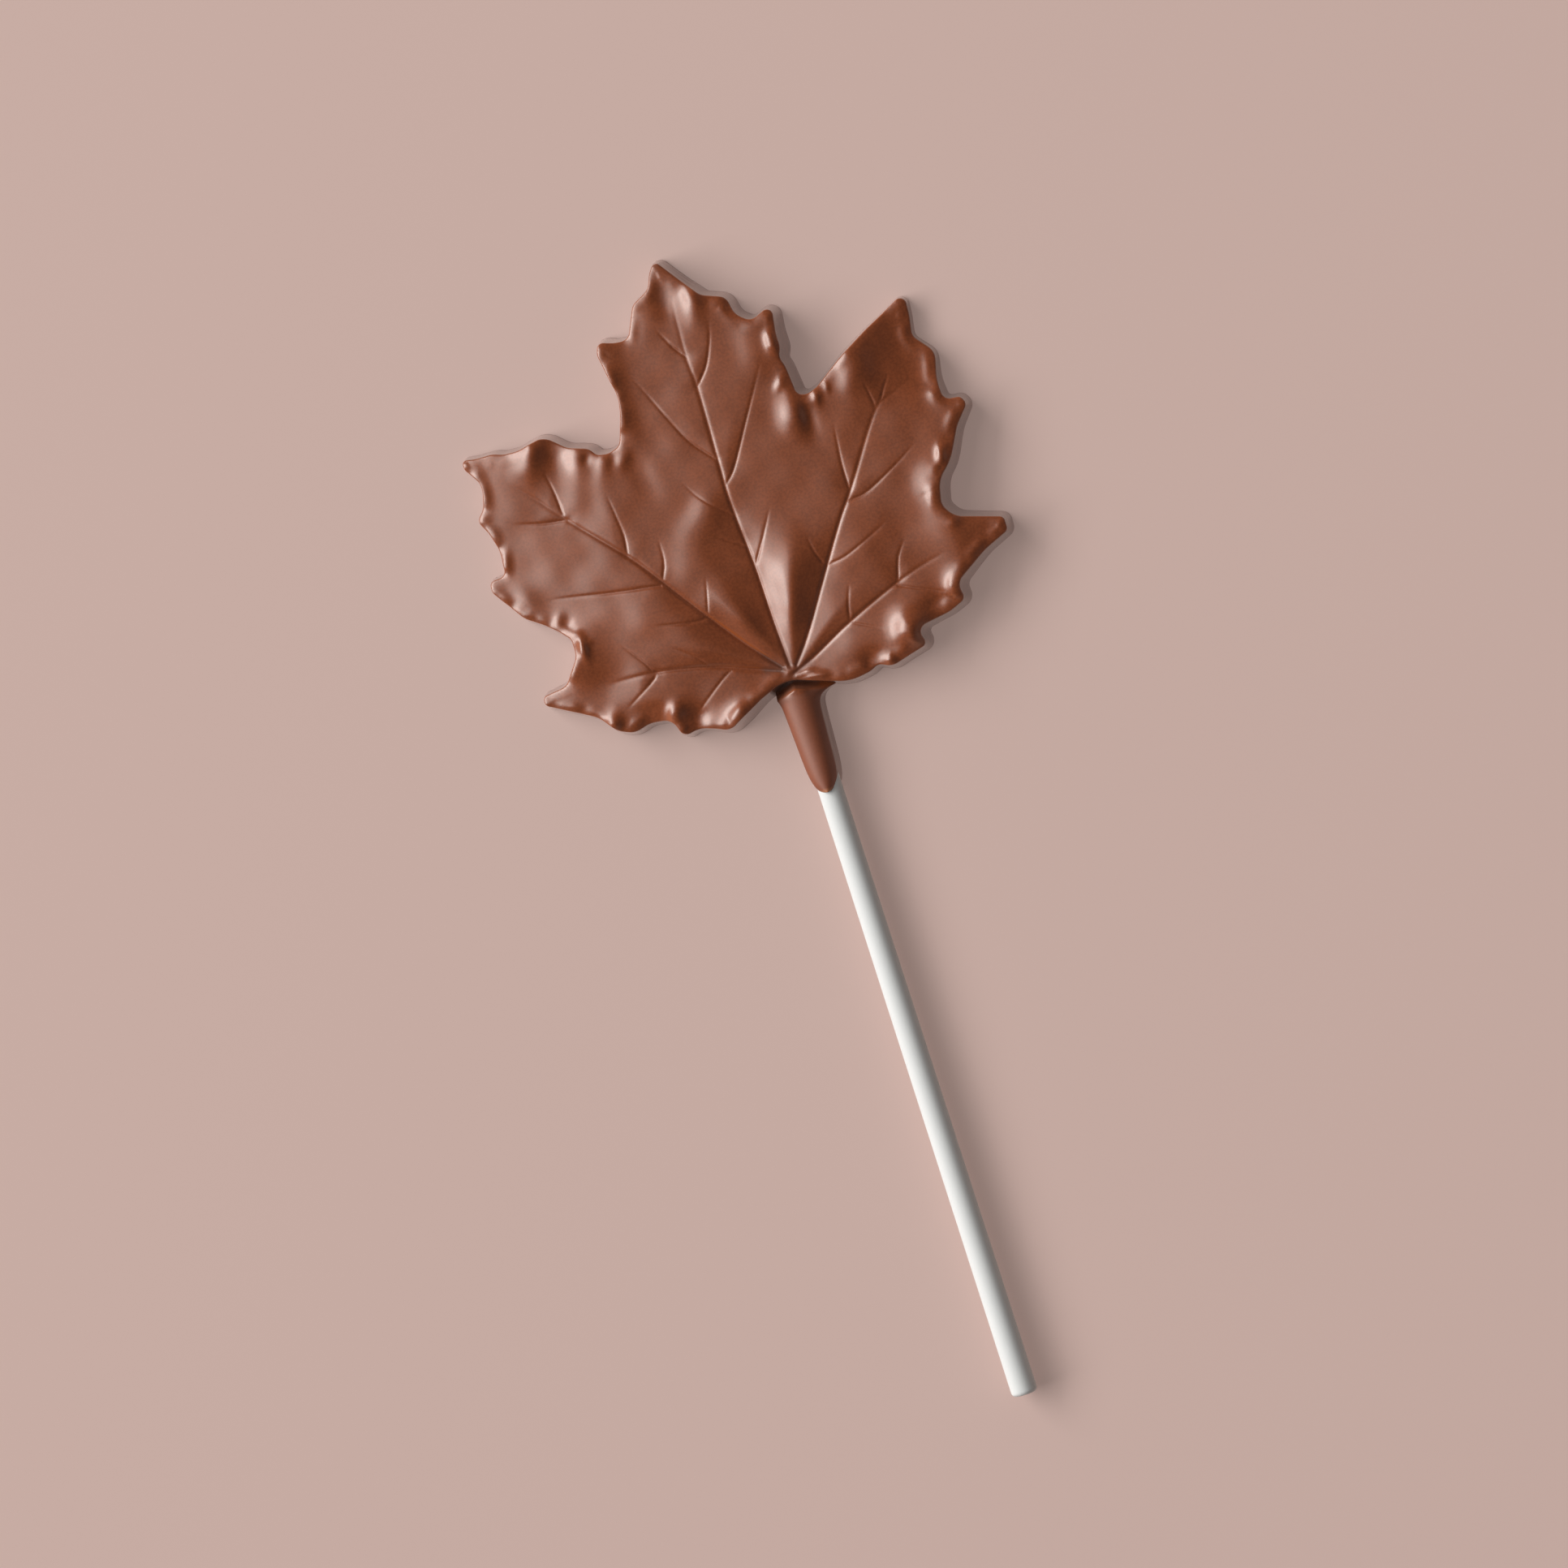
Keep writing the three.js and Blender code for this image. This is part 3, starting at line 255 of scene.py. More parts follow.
# Long soft folds of the face, each with a straight crest: where the crest starts and ends, how far the fold
# reaches to each side at its start and at its end, and its rise halfway along.
FOLDS = [
    # between the main veins
    (0.2, -0.3, 9.4, 28.0, 0.8, 9.0, 1.3), (-0.6, -0.3, -10.4, 23.0, 0.6, 6.4, 0.85),
    (-1.4, 1.0, -20.0, 13.0, 0.4, 6.4, 0.3),
    # at the hub, under the lower right vein
    (-0.6, -1.2, 5.0, -0.8, 0.4, 0.7, 0.3), (0.0, -1.4, 8.5, -2.6, 0.4, 0.9, 0.25),
    # over the left notch
    (-25.6, 51.0, -30.8, 36.0, 2.6, 3.8, 0.9),
]

# Faint waves of the whole face: length, direction in degrees, phase and height.
RIPPLES = [
    (9.7, 24, 0.4, 0.035), (8.1, 151, 2.2, 0.03), (6.3, 78, 4.1, 0.022), (5.2, 117, 1.3, 0.016),
    (4.4, 12, 5.2, 0.012), (3.6, 63, 3.0, 0.008),
]


def outline(corners, offset):
    """Closed outline through rounded corners, moved outwards by offset: each corner is an arc whose radius
    grows or shrinks with the offset and each side is a straight row, so every offset gives the same number
    of points."""
    c = np.array(corners, float)
    at, radius = c[:, :2], c[:, 2]
    back, on = at - np.roll(at, 1, 0), np.roll(at, -1, 0) - at
    back_len, on_len = np.hypot(*back.T), np.hypot(*on.T)
    u, v = back / back_len[:, None], on / on_len[:, None]
    turn = np.arctan2(u[:, 0] * v[:, 1] - u[:, 1] * v[:, 0], (u * v).sum(1))
    slope = np.abs(np.tan(turn / 2))
    own = np.minimum(radius, 0.5 * np.minimum(back_len, on_len) / slope)
    r = np.maximum(own + np.sign(turn) * offset, MIN_RADIUS)
    outwards = np.stack([u[:, 1] + v[:, 1], -u[:, 0] - v[:, 0]], 1) / (1 + (u * v).sum(1))[:, None]
    start = at + outwards * offset - u * (r * slope)[:, None]
    inwards = np.stack([-u[:, 1], u[:, 0]], 1) * np.sign(turn)[:, None]
    arc_steps = np.ceil(np.maximum(np.abs(turn) / RIM_TURN, np.abs(turn) * own / RIM_STEP))
    arc_steps = arc_steps.astype(int).clip(1)
    straight = on_len - own * slope - np.roll(own * slope, -1)
    side_steps = np.ceil((straight - 1e-6) / RIM_STEP).astype(int).clip(0)
    arcs = []
    for i, steps in enumerate(arc_steps):
        a = np.abs(turn[i]) * np.arange(steps + 1) / steps
        forwards = np.outer(r[i] * np.sin(a), u[i])
        arcs.append(start[i] + forwards + np.outer(r[i] * (1 - np.cos(a)), inwards[i]))
    ring = []
    for i, steps in enumerate(side_steps):
        t = (np.arange(1, steps) / max(steps, 1))[:, None]
        ring.append(arcs[i] if steps else arcs[i][:-1])
        ring.append(arcs[i][-1] * (1 - t) + arcs[(i + 1) % len(arcs)][0] * t)
    return np.concatenate(ring)


def smooth_path(points, step):
    """Curve through the points: on each stretch a cubic that keeps the direction from one neighbour to the
    other, taken at even steps of its length. Returns the places and how far along each is, from 0 to 1."""
    p = np.array(points, float)
    p = np.concatenate([[2 * p[0] - p[1]], p, [2 * p[-1] - p[-2]]])
    t = np.linspace(0, 1, PATH_PARTS, endpoint=False)[:, None]
    a, b, c, d = p[:-3, None], p[1:-2, None], p[2:-1, None], p[3:, None]
    fine = 0.5 * (2 * b + (c - a) * t + (2 * a - 5 * b + 4 * c - d) * t**2 + (3 * b - a - 3 * c + d) * t**3)
    fine = np.concatenate([fine.reshape(-1, 2), p[-2:-1]])
    run = np.concatenate([[0], np.cumsum(np.hypot(*np.diff(fine, axis=0).T))])
    s = np.linspace(0, 1, max(2, int(round(run[-1] / step))) + 1)
    return np.stack([np.interp(s * run[-1], run, fine[:, k]) for k in (0, 1)], 1), s


def along_path(x, y, path, s):
    """Distance from each place to the polyline and how far along it the nearest point is."""
    a, d = path[:-1], np.diff(path, axis=0)
    px, py = x[:, None] - a[:, 0], y[:, None] - a[:, 1]
    t = np.clip((px * d[:, 0] + py * d[:, 1]) / (d**2).sum(1), 0, 1)
    away = np.hypot(px - t * d[:, 0], py - t * d[:, 1])
    k = away.argmin(1)
    rows = np.arange(len(x))
    return away[rows, k], s[k] + t[rows, k] * (s[k + 1] - s[k])


VEIN_PATHS = [(kind, *smooth_path(points, PATH_STEP)) for kind, points in VEINS]


def rim_bead(ring, along):
    """How far inside the ring the bead runs and how high it rises, at the given lengths along the ring. Both
    follow the way that the rim faces, and the rise also swells and sinks along it."""
    tangent = np.roll(ring, -1, 0) - np.roll(ring, 1, 0)
    tangent /= np.hypot(*tangent.T)[:, None]
    run = np.concatenate([[0], np.cumsum(np.hypot(*np.diff(ring, axis=0).T))])
    left = np.interp(along, run, -tangent[:, 1]).clip(0)
    up = np.interp(along, run, -tangent[:, 0]).clip(0)
    swell = sum(rise * np.sin(2 * np.pi * along / length + phase) for length, phase, rise in BEAD_WAVES)
    return BEAD_AWAY * (1 - BEAD_LEFT * left), (BEAD_RISE + swell) * (1 - BEAD_CALM * up)


def face_height(x, y, inside, bead_away, bead_rise):
    """Height of the face over the back: the plate's thickness less a shallow dome's fall and the bevel at
    the rim, less the valley down to the nearest veins, less each vein's groove, plus the bead along the rim
    and the soft bumps, folds and ripples. The places lie the given distances inside the rim."""
    fall = CROWN * ((x - CROWN_CENTRE[0]) ** 2 + (y - CROWN_CENTRE[1]) ** 2) / CROWN_REACH**2
    valley, groove = np.zeros_like(x), np.zeros_like(x)
    for (depth, half, swell, valley_depth, reach), path, s in VEIN_PATHS:
        low, high = path.min(0) - VALLEY_SPAN * reach, path.max(0) + VALLEY_SPAN * reach
        near = np.flatnonzero((x > low[0]) & (x < high[0]) & (y > low[1]) & (y < high[1]))
        away, share = along_path(x[near], y[near], path, s)
        fade = (1 + swell * share) * (1 - share**3)
        t = ((share - VALLEY_FADE_START) / VALLEY_FADE).clip(0, 1)
        slope = 1 - np.tanh(np.hypot(away / reach, VALLEY_ROUND))
        valley[near] += (valley_depth * (1 - VALLEY_FADE_LOSS * t * t * (3 - 2 * t)) * slope) ** VALLEY_MERGE
        groove[near] = np.maximum(groove[near], depth * fade * np.exp(-((away / half) ** 2)))
    rise = np.zeros_like(x)
    for px, py, length, width, degrees, up in PUCKERS:
        a = np.radians(degrees)
        along = (x - px) * np.cos(a) + (y - py) * np.sin(a)
        across = (y - py) * np.cos(a) - (x - px) * np.sin(a)
        rise += up * np.exp(-((along / length) ** 2) - (across / width) ** 2)
    for x0, y0, x1, y1, reach_0, reach_1, up in FOLDS:
        length = np.hypot(x1 - x0, y1 - y0)
        share = (((x - x0) * (x1 - x0) + (y - y0) * (y1 - y0)) / length**2).clip(0, 1)
        across = ((x - x0) * (y1 - y0) - (y - y0) * (x1 - x0)) / length
        u = np.sqrt((across / (reach_0 + (reach_1 - reach_0) * share)) ** 2 + FOLD_ROUND) - FOLD_LOWER
        rise += up * np.sin(np.pi * share) ** 3 * (1 - u).clip(0) ** 2
    for length, degrees, phase, up in RIPPLES:
        a = np.radians(degrees)
        rise += up * np.sin(2 * np.pi * (x * np.cos(a) + y * np.sin(a)) / length + phase)
    rise += bead_rise * np.exp(-(((inside - bead_away) / BEAD_HALF) ** 2))
    bevel = BEVEL * np.exp(-inside.clip(0) / BEVEL_REACH)
    return LEAF_THICK - fall - bevel - valley ** (1 / VALLEY_MERGE) - groove + rise


def rim_distance(x, y, ring):
    """How far inside the ring each place lies, and the length along the ring to the nearest point of it.
    Outside the distance is negative: the nearest ring point's outward normal tells the two apart."""
    tangent = np.roll(ring, -1, 0) - np.roll(ring, 1, 0)
    normal = np.stack([tangent[:, 1], -tangent[:, 0]], 1) / np.hypot(*tangent.T)[:, None]
    run = np.concatenate([[0], np.cumsum(np.hypot(*np.diff(ring, axis=0).T))])
    result, along = np.empty(len(x)), np.empty(len(x))
    for k in range(0, len(x), PLACES_AT_ONCE):
        part = slice(k, k + PLACES_AT_ONCE)
        dx, dy = x[part, None] - ring[:, 0], y[part, None] - ring[:, 1]
        gap = dx**2 + dy**2
        i = gap.argmin(1)
        rows = np.arange(len(i))
        outwards = dx[rows, i] * normal[i, 0] + dy[rows, i] * normal[i, 1]
        forwards = (dx[rows, i] * tangent[i, 0] + dy[rows, i] * tangent[i, 1]) / np.hypot(*tangent[i].T)
        result[part] = -np.sign(outwards) * np.sqrt(gap[rows, i])
        along[part] = run[i] + forwards.clip(-0.5 * RIM_STEP, 0.5 * RIM_STEP)
    return result, along


def honeycomb(low, high, step):
    """Rows of places, every other row shifted by half a step."""
    rows = np.arange(low[1], high[1], step * np.sqrt(0.75))
    x, y = np.meshgrid(np.arange(low[0], high[0], step), rows)
    x[1::2] += 0.5 * step
    return np.stack([x.ravel(), y.ravel()], 1)


def face_places(ring):
    """The face's flat places: the ring, close rows along each vein, and a honeycomb between them. Returns
    them with their distances inside the ring and the lengths along it to its nearest points."""
    rows = np.empty((0, 2))
    cells = honeycomb(ring.min(0), ring.max(0), FACE_STEP)
    for kind, points in VEINS:
        path, _ = smooth_path(points, VEIN_STEP)
        tangent = np.gradient(path, axis=0)
        normal = np.stack([-tangent[:, 1], tangent[:, 0]], 1) / np.hypot(*tangent.T)[:, None]
        lines = VEIN_ROWS if kind in (MAIN, LEFT_MAIN) else BRANCH_ROWS
        band = abs(lines).max() + VEIN_CLEAR
        line = np.arange(len(path)) / (len(path) - 1)
        keep_cells = along_path(*cells.T, path, line)[0] > band
        cells = cells[keep_cells]
        places = (path[:, None] + lines[None, :, None] * normal[:, None]).reshape(-1, 2)
        if len(rows):
            parts = np.array_split(places, len(places) // VEIN_PLACES_AT_ONCE + 1)
            gap = np.concatenate([((part[:, None] - rows[None]) ** 2).sum(2).min(1) for part in parts])
            places = places[gap > ROW_CLEAR**2]
        rows = np.concatenate([rows, places])
    inner = np.concatenate([rows, cells])
    inside, along = rim_distance(*inner.T, ring)
    kept = inside > RIM_CLEAR
    run = np.concatenate([[0], np.cumsum(np.hypot(*np.diff(ring, axis=0).T))])
    inside = np.concatenate([np.zeros(len(ring)), inside[kept]])
    return np.concatenate([ring, inner[kept]]), inside, np.concatenate([run, along[kept]])


def triangles_inside(places, count):
    """Triangles between the places inside the closed ring that the first count of them make, all of them
    anticlockwise."""
    edges = [(i, (i + 1) % count) for i in range(count)]
    points, _, faces, _, _, _ = delaunay_2d_cdt([Vector(p) for p in places.tolist()], edges, [], 1, 1e-7)
    if len(points) != len(places):
        raise ValueError("the ring crosses itself")
    return np.array([f for f in faces if len(f) == 3])


def joined_rows(rows, count, first):
    """Triangles that join each ring of count points to the next: rows rings, numbered on from first."""
    i = np.arange(count)
    j = (i + 1) % count
    k = first + count * np.arange(rows - 1)[:, None]
    a, b, c, d = k + i, k + j, k + count + i, k + count + j
    halves = [np.stack([a, c, d], -1), np.stack([a, d, b], -1)]
    return np.concatenate([half.reshape(-1, 3) for half in halves])


def mesh_object(name, vertices, triangles):
    """A mesh object in metres, smooth, from millimetre vertices and triangles."""
    mesh = bpy.data.meshes.new(name)
    mesh.vertices.add(len(vertices))
    mesh.vertices.foreach_set("co", (np.asarray(vertices) * MM).astype(np.float32).ravel())
    mesh.loops.add(3 * len(triangles))
    mesh.loops.foreach_set("vertex_index", np.asarray(triangles, np.int32).ravel())
    mesh.polygons.add(len(triangles))
    mesh.polygons.foreach_set("loop_start", np.arange(0, 3 * len(triangles), 3, dtype=np.int32))
    mesh.update(calc_edges=True)
    mesh.validate()
    mesh.shade_smooth()
    obj = bpy.data.objects.new(name, mesh)
    bpy.context.scene.collection.objects.link(obj)
    return obj


def leaf_plate():
    """The leaf: the face, then row under row its rounded rim, the drafted wall and the rounded foot, and
    last the flat back. The wall reaches outwards by the draft in proportion to the way down."""
    tilts = np.radians(np.linspace(RIM_TILT, 90, RIM_POINTS))
    ring = outline(RIM_CORNERS, -RIM_RADIUS * (1 - np.sin(tilts[0])))
    count = len(ring)
    places, inside, along = face_places(ring)
    face = triangles_inside(places, count)
    top = np.column_stack([places, face_height(*places.T, inside, *rim_bead(ring, along))])
    edge = top[:count, 2]
    height = edge - RIM_RADIUS * np.cos(tilts[0])
    rim, spread = outline(RIM_CORNERS, 0), outline(RIM_CORNERS, DRAFT) - outline(RIM_CORNERS, 0)
    spread *= (height / LEAF_THICK)[:, None]
    below = []
    for a in tilts[1:]:
        ring = outline(RIM_CORNERS, -RIM_RADIUS * (1 - np.sin(a)))
        below.append(np.column_stack([ring, edge - RIM_RADIUS * (np.cos(tilts[0]) - np.cos(a))]))
    for t in np.linspace(0, 1, WALL_POINTS)[1:-1]:
        below.append(np.column_stack([rim + spread * t, height * (1 - t) + FOOT_RADIUS * t]))
    for a in np.radians([0, 45, 90]):
        foot = 1 - FOOT_RADIUS / DRAFT * (1 - np.cos(a))
        below.append(np.column_stack([rim + spread * foot, np.full(count, FOOT_RADIUS * (1 - np.sin(a)))]))
    band = np.concatenate([top[:count]] + below)
    foot = below[-1][:, :2]
    back_cells = honeycomb(foot.min(0), foot.max(0), BACK_STEP)
    back_cells = back_cells[rim_distance(*back_cells.T, foot)[0] > BACK_CLEAR]
    back_places = np.concatenate([foot, back_cells])
    back = triangles_inside(back_places, count)[:, ::-1]
    vertices = np.concatenate([top] + below + [np.column_stack([back_cells, np.zeros(len(back_cells))])])
    wall = joined_rows(len(below) + 1, count, 0)
    wall = np.where(wall < count, wall, wall + len(top) - count)
    last = len(top) + (len(below) - 1) * count
    back = np.where(back < count, back + last, back - count + last + count)
    return mesh_object("leaf", vertices, np.concatenate([face, wall, back]))


def stem_bar():
    """The stem: sections of a drafted bar with a round top along -Y, each scaled by its taper and the
    rounded nose. At its root its sides spread, and its top dips smoothly towards the leaf's rim."""
    nose_y = STEM_END_Y + STEM_NOSE
    body = np.arange(STEM_INSIDE_Y - STEM_STEP, nose_y, -STEM_STEP)
    nose = nose_y - STEM_NOSE * np.sin(np.linspace(0, np.pi / 2, STEM_NOSE_POINTS))
    y = np.concatenate([[STEM_INSIDE_Y], body, nose])
    past = np.maximum(0, STEM_ROOT_Y - y)
    into = np.maximum(0, nose_y - y) / STEM_NOSE
    share = np.maximum(STEM_TIP, np.maximum(0, 1 - into**STEM_NOSE_POWER) ** (1 / STEM_NOSE_POWER))
    half = (STEM_HALF_WIDTH - STEM_TAPER * past) * share
    flare = STEM_FLARE * np.exp(((y - STEM_ROOT_Y) / STEM_FLARE_REACH).clip(None, 1))
    top = STEM_TOP - STEM_DROOP * into**2
    a = np.radians(np.linspace(0, 180, STEM_ROUND_POINTS))
    side = np.linspace(0, 1, STEM_SIDE_POINTS)[:-1]
    foot = np.linspace(1, -1, STEM_FOOT_POINTS)[1:-1]
    lean = STEM_SIDE_LEAN * side
    across = np.concatenate([1 - lean, (1 - STEM_SIDE_LEAN) * np.cos(a), lean[::-1] - 1, foot[::-1]])
    wall = STEM_SIDE_SHARE * side
    over = STEM_SIDE_SHARE + (1 - STEM_SIDE_SHARE) * np.sin(a).clip(0)
    up = np.concatenate([wall, over, wall[::-1], 0 * foot])
    t = ((up - STEM_FLARE_FULL) / (STEM_FLARE_TOP - STEM_FLARE_FULL)).clip(0, 1)
    flared = np.where(across < 0, -STEM_FLARE_LEFT, 1) * (1 - t * t * (3 - 2 * t))
    x = STEM_X + half[:, None] * across + flare[:, None] * flared
    dip = ((y[:, None] - STEM_DIP_Y + STEM_DIP_LEAN * np.abs(x - STEM_X)) / STEM_DIP_REACH).clip(0, 1)
    z = (top[:, None] - STEM_DIP * dip * dip * (3 - 2 * dip)) * up
    vertices = np.stack([x, np.broadcast_to(y[:, None], x.shape), z], -1).reshape(-1, 3)
    count = len(across)
    tube = joined_rows(len(y), count, 0)[:, ::-1]
    ends = np.array([[STEM_X, y[0], STEM_CAP_Z], [STEM_X, y[-1], STEM_CAP_Z]])
    i = np.arange(count)
    j = (i + 1) % count
    last = (len(y) - 1) * count
    first_cap = np.column_stack([i, j, np.full(count, len(vertices))])[:, ::-1]
    last_cap = np.column_stack([last + i, last + j, np.full(count, len(vertices) + 1)])
    return mesh_object("stem", np.concatenate([vertices, ends]), np.concatenate([tube, first_cap, last_cap]))


def turned(name, y, radius):
    """A bar along the stick's axis: a row of y and radius, turned round it, with its two poles closed."""
    sides = ROUND_SIDES
    a = np.linspace(0, 2 * np.pi, sides, endpoint=False)
    x = radius[:, None] * np.cos(a)
    z = STICK_Z + radius[:, None] * np.sin(a)
    vertices = np.stack([x, np.broadcast_to(y[:, None], x.shape), z], -1).reshape(-1, 3)
    poles = np.array([[0, y[0], STICK_Z], [0, y[-1], STICK_Z]])
    i = np.arange(sides)
    j = (i + 1) % sides
    last = (len(y) - 1) * sides
    first_cap = np.column_stack([j, i, np.full(sides, len(vertices))])
    last_cap = np.column_stack([last + i, last + j, np.full(sides, len(vertices) + 1)])
    tube = joined_rows(len(y), sides, 0)[:, ::-1]
    return mesh_object(name, np.concatenate([vertices, poles]), np.concatenate([first_cap, tube, last_cap]))


def combine(obj, other, operation):
    """Adds or cuts away another closed mesh for good."""
    modifier = obj.modifiers.new(operation.lower(), "BOOLEAN")
    modifier.object, modifier.operation, modifier.solver = other, operation, "MANIFOLD"
    mesh = bpy.data.meshes.new_from_object(obj.evaluated_get(bpy.context.evaluated_depsgraph_get()))
    obj.modifiers.clear()
    obj.data = mesh
    bpy.data.objects.remove(other)


def chocolate_leaf():
    """The leaf and its stem as one closed piece, with the stick's socket cut out."""
    leaf, stem = leaf_plate(), stem_bar()
    y = np.array([STICK_TOP_Y + PAPER_GAP, STEM_END_Y - SOCKET_PAST])
    combine(stem, turned("socket", y, np.full(2, STICK_RADIUS_IN + PAPER_GAP)), "DIFFERENCE")
    combine(leaf, stem, "UNION")
    leaf.name = "leaf_and_stem"
    leaf.data.name = "leaf_and_stem"
    leaf.data.shade_smooth()
    leaf.data.set_sharp_from_angle(angle=SHARP_ANGLE)
    return leaf


def paper_stick():
    """The rolled paper stick: a bar a little thicker at its free end, with rounded ends."""
    a = np.radians(np.linspace(90, 0, STICK_EDGE_POINTS))
    top_r = STICK_RADIUS_IN - STICK_HELD_EDGE * (1 - np.cos(a))
    top_y = STICK_TOP_Y - STICK_HELD_EDGE * (1 - np.sin(a))
    end_r = (STICK_RADIUS_OUT - STICK_EDGE * (1 - np.cos(a)))[::-1]
    end_y = (STICK_TOP_Y - STICK_LENGTH + STICK_EDGE * (1 - np.sin(a)))[::-1]
    middle_y = np.linspace(top_y[-1], end_y[0], STICK_ROWS)[1:-1]
    middle_r = np.interp(middle_y, [end_y[0], top_y[-1]], [STICK_RADIUS_OUT, STICK_RADIUS_IN])
    y = np.concatenate([top_y, middle_y, end_y])
    return turned("stick", y, np.concatenate([top_r, middle_r, end_r]))


class Value:
    """A shader socket that can be used in Python expressions: each operation adds its Math node."""

    def __init__(self, nodes, socket):
        self.nodes, self.socket = nodes, socket

    def _math(self, operation, *inputs):
        return self.nodes.add("ShaderNodeMath", {"operation": operation}, dict(enumerate(inputs)))

    def __abs__(self):
        return self._math("ABSOLUTE", self)

    def __add__(self, other):
        return self._math("ADD", self, other)

    def __sub__(self, other):
        return self._math("SUBTRACT", self, other)

    def __rsub__(self, other):
        return self._math("SUBTRACT", other, self)

    def __mul__(self, other):
        return self._math("MULTIPLY", self, other)

    __radd__, __rmul__ = __add__, __mul__

    def smooth(self, low, high):
        """0 below low and 1 above high, with a smooth rise between."""
        return self.nodes.add("ShaderNodeMapRange", {"interpolation_type": "SMOOTHSTEP"},
                              {"Value": self, "From Min": low, "From Max": high}, "Result")


class Nodes:
    """The node tree of one material."""

    def __init__(self, name):
        self.material = bpy.data.materials.new(name)
        self.material.use_nodes = True
        self.tree = self.material.node_tree
        self.shader = self.tree.nodes["Principled BSDF"]

    def add(self, kind, settings=None, inputs=None, output=0):
        """Adds a node with its settings, then sets or links its sockets, and returns one of its outputs."""
        node = self.tree.nodes.new(kind)
        for key, value in (settings or {}).items():
            setattr(node, key, value)
        self.feed(node, inputs or {})
        return Value(self, node.outputs[output])

    def feed(self, node, inputs):
        """Links each value to its socket, or sets the socket to it where it is a plain number or colour."""
        for key, value in inputs.items():
            if isinstance(value, Value):
                self.tree.links.new(value.socket, node.inputs[key])
            else:
                node.inputs[key].default_value = value

    def mix(self, factor, a, b):
        """Colour a where the factor is 0 and b where it is 1."""
        return self.add("ShaderNodeMix", {"data_type": "RGBA"}, {0: factor, 6: a, 7: b}, 2)

    def noise(self, vector, scale, detail):
        return self.add("ShaderNodeTexNoise", None, {"Vector": vector, "Scale": scale, "Detail": detail})


def chocolate():
    """Satin milk chocolate with a very fine grain. The rounded rim is painted a warmer orange, a painted
    glow of light through the thin chocolate there. The side walls are glossy with fine level lines, and
    their paler grey-mauve is a painted reflection of the pale table. The stem is duller, painted near black
    in its dip at the leaf as painted shade, and painted pale orange at its thin end as a painted glow of
    light through it. Places are in metres, and each mask is 1 on the part that it is named for."""
    n = Nodes("milk_chocolate")
    place = n.add("ShaderNodeTexCoord", output="Object")
    facing = n.add("ShaderNodeTexCoord", output="Normal")
    upwards = n.add("ShaderNodeSeparateXYZ", None, {0: facing}, "Z")
    x, y, z = (n.add("ShaderNodeSeparateXYZ", None, {0: place}, axis) for axis in "XYZ")
    stem = (1 - y.smooth(-0.0045, -0.0035)) * (1 - abs(x + 0.0003).smooth(0.0042, 0.0052))
    end = 1 - y.smooth(-0.0195, -0.0188)
    dip = y.smooth(-0.0056, -0.0026) * (1 - z.smooth(0.0050, 0.0058))
    dip = dip * (1 - abs(x + 0.0003).smooth(0.0032, 0.0045))
    wall = (1 - upwards.smooth(0.2, 0.4)) * upwards.smooth(-0.4, 0.0)
    rim = (1 - upwards.smooth(0.72, 0.86)) * (1 - wall) * (1 - stem)
    speckle = n.noise(place, 2600.0, 4.0).smooth(0.32, 0.68)
    patches = n.noise(place, 260.0, 3.0).smooth(0.3, 0.7)
    brown = n.mix(speckle * 0.65 + patches * 0.35, (0.183, 0.042, 0.0118, 1), (0.273, 0.0655, 0.02, 1))
    # painted glow: the rounded rim is tinted a warmer orange to stand in for light through the thin
    # chocolate
    brown = n.mix(rim * 0.8, brown, (0.31, 0.075, 0.018, 1))
    brown = n.mix(stem * 0.6, brown, (0.215, 0.045, 0.011, 1))
    # painted shade: the stem's dip under the leaf's rim is painted near black
    brown = n.mix(dip * 0.6, brown, (0.03, 0.007, 0.003, 1))
    # painted glow: the stem's thin end is painted pale orange to stand in for light shining through it
    brown = n.mix(end * 0.7, brown, (0.5, 0.19, 0.07, 1))
    lengthways = n.add("ShaderNodeMapping", None, {"Vector": place, "Scale": (150.0, 150.0, 1700.0)})
    streak = n.noise(lengthways, 1.0, 2.0).smooth(0.3, 0.7)
    # painted reflection: the walls' paler grey-mauve stands in for the pale table reflected at grazing
    # angles; the streaks between the two tones are the mould's real level lines
    side = n.mix(streak, (0.16, 0.062, 0.036, 1), (0.30, 0.165, 0.125, 1))
    colour = n.mix(wall, brown, side)
    relief = n.noise(place, 5200.0, 2.0) * (1 - wall) + streak * wall * 2.0
    bump = n.add("ShaderNodeBump", None, {"Strength": 0.12, "Distance": 0.00004, "Height": relief})
    roughness = 0.30 - wall * 0.1 + stem * 0.28 + dip * 0.3
    n.feed(n.shader, {"Base Color": colour, "Roughness": roughness, "Normal": bump, "Coat Weight": wall})
    n.feed(n.shader, {"Specular IOR Level": 1.0, "Specular Tint": (1.0, 0.93, 0.88, 1)})
    n.feed(n.shader, {"Coat Roughness": 0.12})
    return n.material


def paper():
    """Matt white paper."""
    n = Nodes("white_paper")
    place = n.add("ShaderNodeTexCoord", output="Object")
    fibre = n.noise(place, 2600.0, 3.0)
    bump = n.add("ShaderNodeBump", None, {"Strength": 0.15, "Distance": 0.00005, "Height": fibre})
    n.feed(n.shader, {"Base Color": (0.70, 0.70, 0.68, 1), "Roughness": 0.8, "Normal": bump})
    return n.material


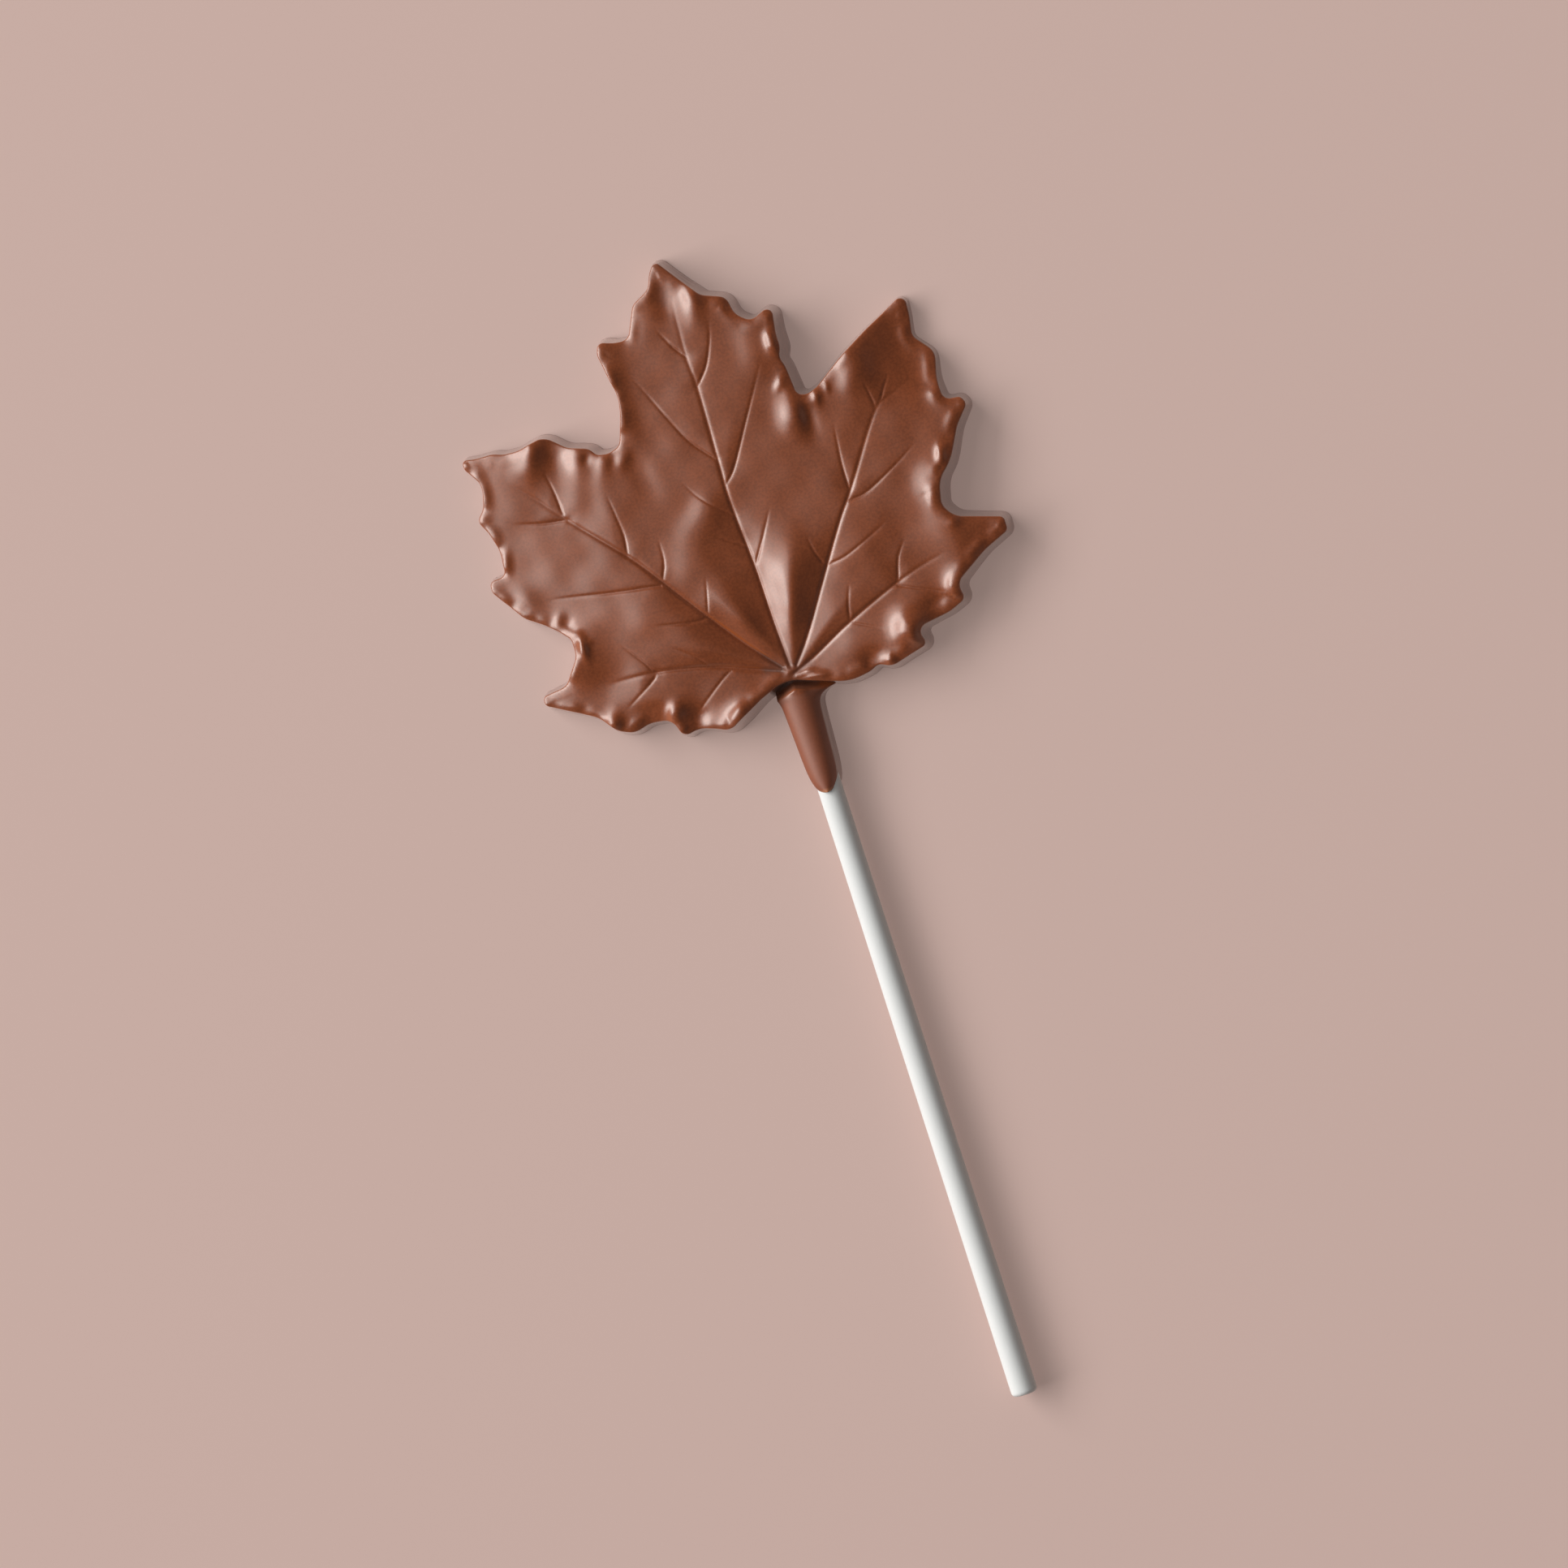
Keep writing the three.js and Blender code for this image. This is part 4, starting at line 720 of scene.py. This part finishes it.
def table():
    """A plain pale table top under the part."""
    size = 3000.0
    corners = np.array([[-1, -1], [1, -1], [1, 1], [-1, 1]]) * size
    floor = mesh_object("table", np.column_stack([corners, np.zeros(4)]), np.array([[0, 1, 2], [0, 2, 3]]))
    n = Nodes("table_top")
    n.feed(n.shader, {"Base Color": (0.40, 0.286, 0.254, 1), "Roughness": 0.9, "Specular IOR Level": 0.2})
    n.feed(n.shader, {"Emission Color": (0.215, 0.155, 0.138, 1), "Emission Strength": 1.0})
    floor.data.materials.append(n.material)


# The camera stands almost plumb over the part, turned so that the stick runs down to the right.
ROLL = np.radians(17.98)
LEAN_RIGHT = np.radians(6.8)
LEAN_UP = np.radians(3.8)
LENS = 150.0
SENSOR = 36.0
CAMERA_AWAY = 1011.3
TARGET = np.array([-7.05, -16.49, 0.0])
IMAGE_RIGHT = np.array([np.cos(ROLL), -np.sin(ROLL), 0.0])
IMAGE_UP = np.array([np.sin(ROLL), np.cos(ROLL), 0.0])


def camera():
    """A long lens that looks at the target from a long way back."""
    back = IMAGE_RIGHT * np.tan(LEAN_RIGHT) + IMAGE_UP * np.tan(LEAN_UP) + np.array([0, 0, 1.0])
    back /= np.linalg.norm(back)
    right = np.cross(IMAGE_UP, back)
    right /= np.linalg.norm(right)
    up = np.cross(back, right)
    data = bpy.data.cameras.new("camera")
    data.lens, data.sensor_width, data.sensor_height = LENS, SENSOR, SENSOR
    data.clip_start, data.clip_end = 0.05, 20.0
    obj = bpy.data.objects.new("camera", data)
    place = (TARGET + back * CAMERA_AWAY) * MM
    turn = Matrix([right, up, back]).transposed().to_4x4()
    obj.matrix_world = Matrix.Translation(place) @ turn
    bpy.context.scene.collection.objects.link(obj)
    bpy.context.scene.camera = obj


# The softboxes: name, degrees round and up, width, height and power.
SOFTBOXES = [
    ("key", 171.0, 32.0, 5600.0, 1900.0, 270.0), ("fill", 171.0, 55.0, 4400.0, 1500.0, 45.0),
    ("overhead", 171.0, 76.0, 4200.0, 2600.0, 9.6),
]
SOFTBOX_AWAY = 4500.0
LIT_PLACE = np.array([0.0, 20.0, 0.0])
WALL_LIGHT = 0.33
CEILING_LIGHT = 0.06


def softbox(name, turn, height, wide, high, power):
    """A softbox that faces the part: turn degrees round from the image's right, height degrees up."""
    a, h = np.radians(turn), np.radians(height)
    out = (IMAGE_RIGHT * np.cos(a) + IMAGE_UP * np.sin(a)) * np.cos(h) + np.array([0, 0, np.sin(h)])
    data = bpy.data.lights.new(name, "AREA")
    data.shape, data.size, data.size_y = "RECTANGLE", wide * MM, high * MM
    data.energy = power
    obj = bpy.data.objects.new(name, data)
    aim = Vector(out).to_track_quat("Z", "Y").to_matrix().to_4x4()
    obj.matrix_world = Matrix.Translation((LIT_PLACE + out * SOFTBOX_AWAY) * MM) @ aim
    bpy.context.scene.collection.objects.link(obj)


def surroundings():
    """Pale walls round the table under a dim ceiling, with a smooth change from one to the other."""
    world = bpy.data.worlds.new("studio")
    world.use_nodes = True
    tree = world.node_tree
    background = tree.nodes["Background"]
    place = tree.nodes.new("ShaderNodeTexCoord")
    split = tree.nodes.new("ShaderNodeSeparateXYZ")
    ramp = tree.nodes.new("ShaderNodeMapRange")
    ramp.interpolation_type = "SMOOTHSTEP"
    ramp.inputs["From Min"].default_value, ramp.inputs["From Max"].default_value = 0.05, 0.6
    ramp.inputs["To Min"].default_value, ramp.inputs["To Max"].default_value = WALL_LIGHT, CEILING_LIGHT
    tree.links.new(place.outputs["Generated"], split.inputs[0])
    tree.links.new(split.outputs["Z"], ramp.inputs["Value"])
    tree.links.new(ramp.outputs["Result"], background.inputs["Strength"])
    background.inputs["Color"].default_value = (1.0, 0.99, 0.97, 1)
    bpy.context.scene.world = world


def lights():
    """The softboxes and the room round them."""
    for box in SOFTBOXES:
        softbox(*box)
    surroundings()
    bpy.context.scene.view_settings.view_transform = "Standard"


camera()
lights()
table()

leaf = chocolate_leaf()
leaf.data.materials.clear()
leaf.data.materials.append(chocolate())
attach(leaf, "root")
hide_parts("chocolate_leaf")

stick = paper_stick()
stick.data.materials.append(paper())
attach(stick, "root")
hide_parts("paper_stick")
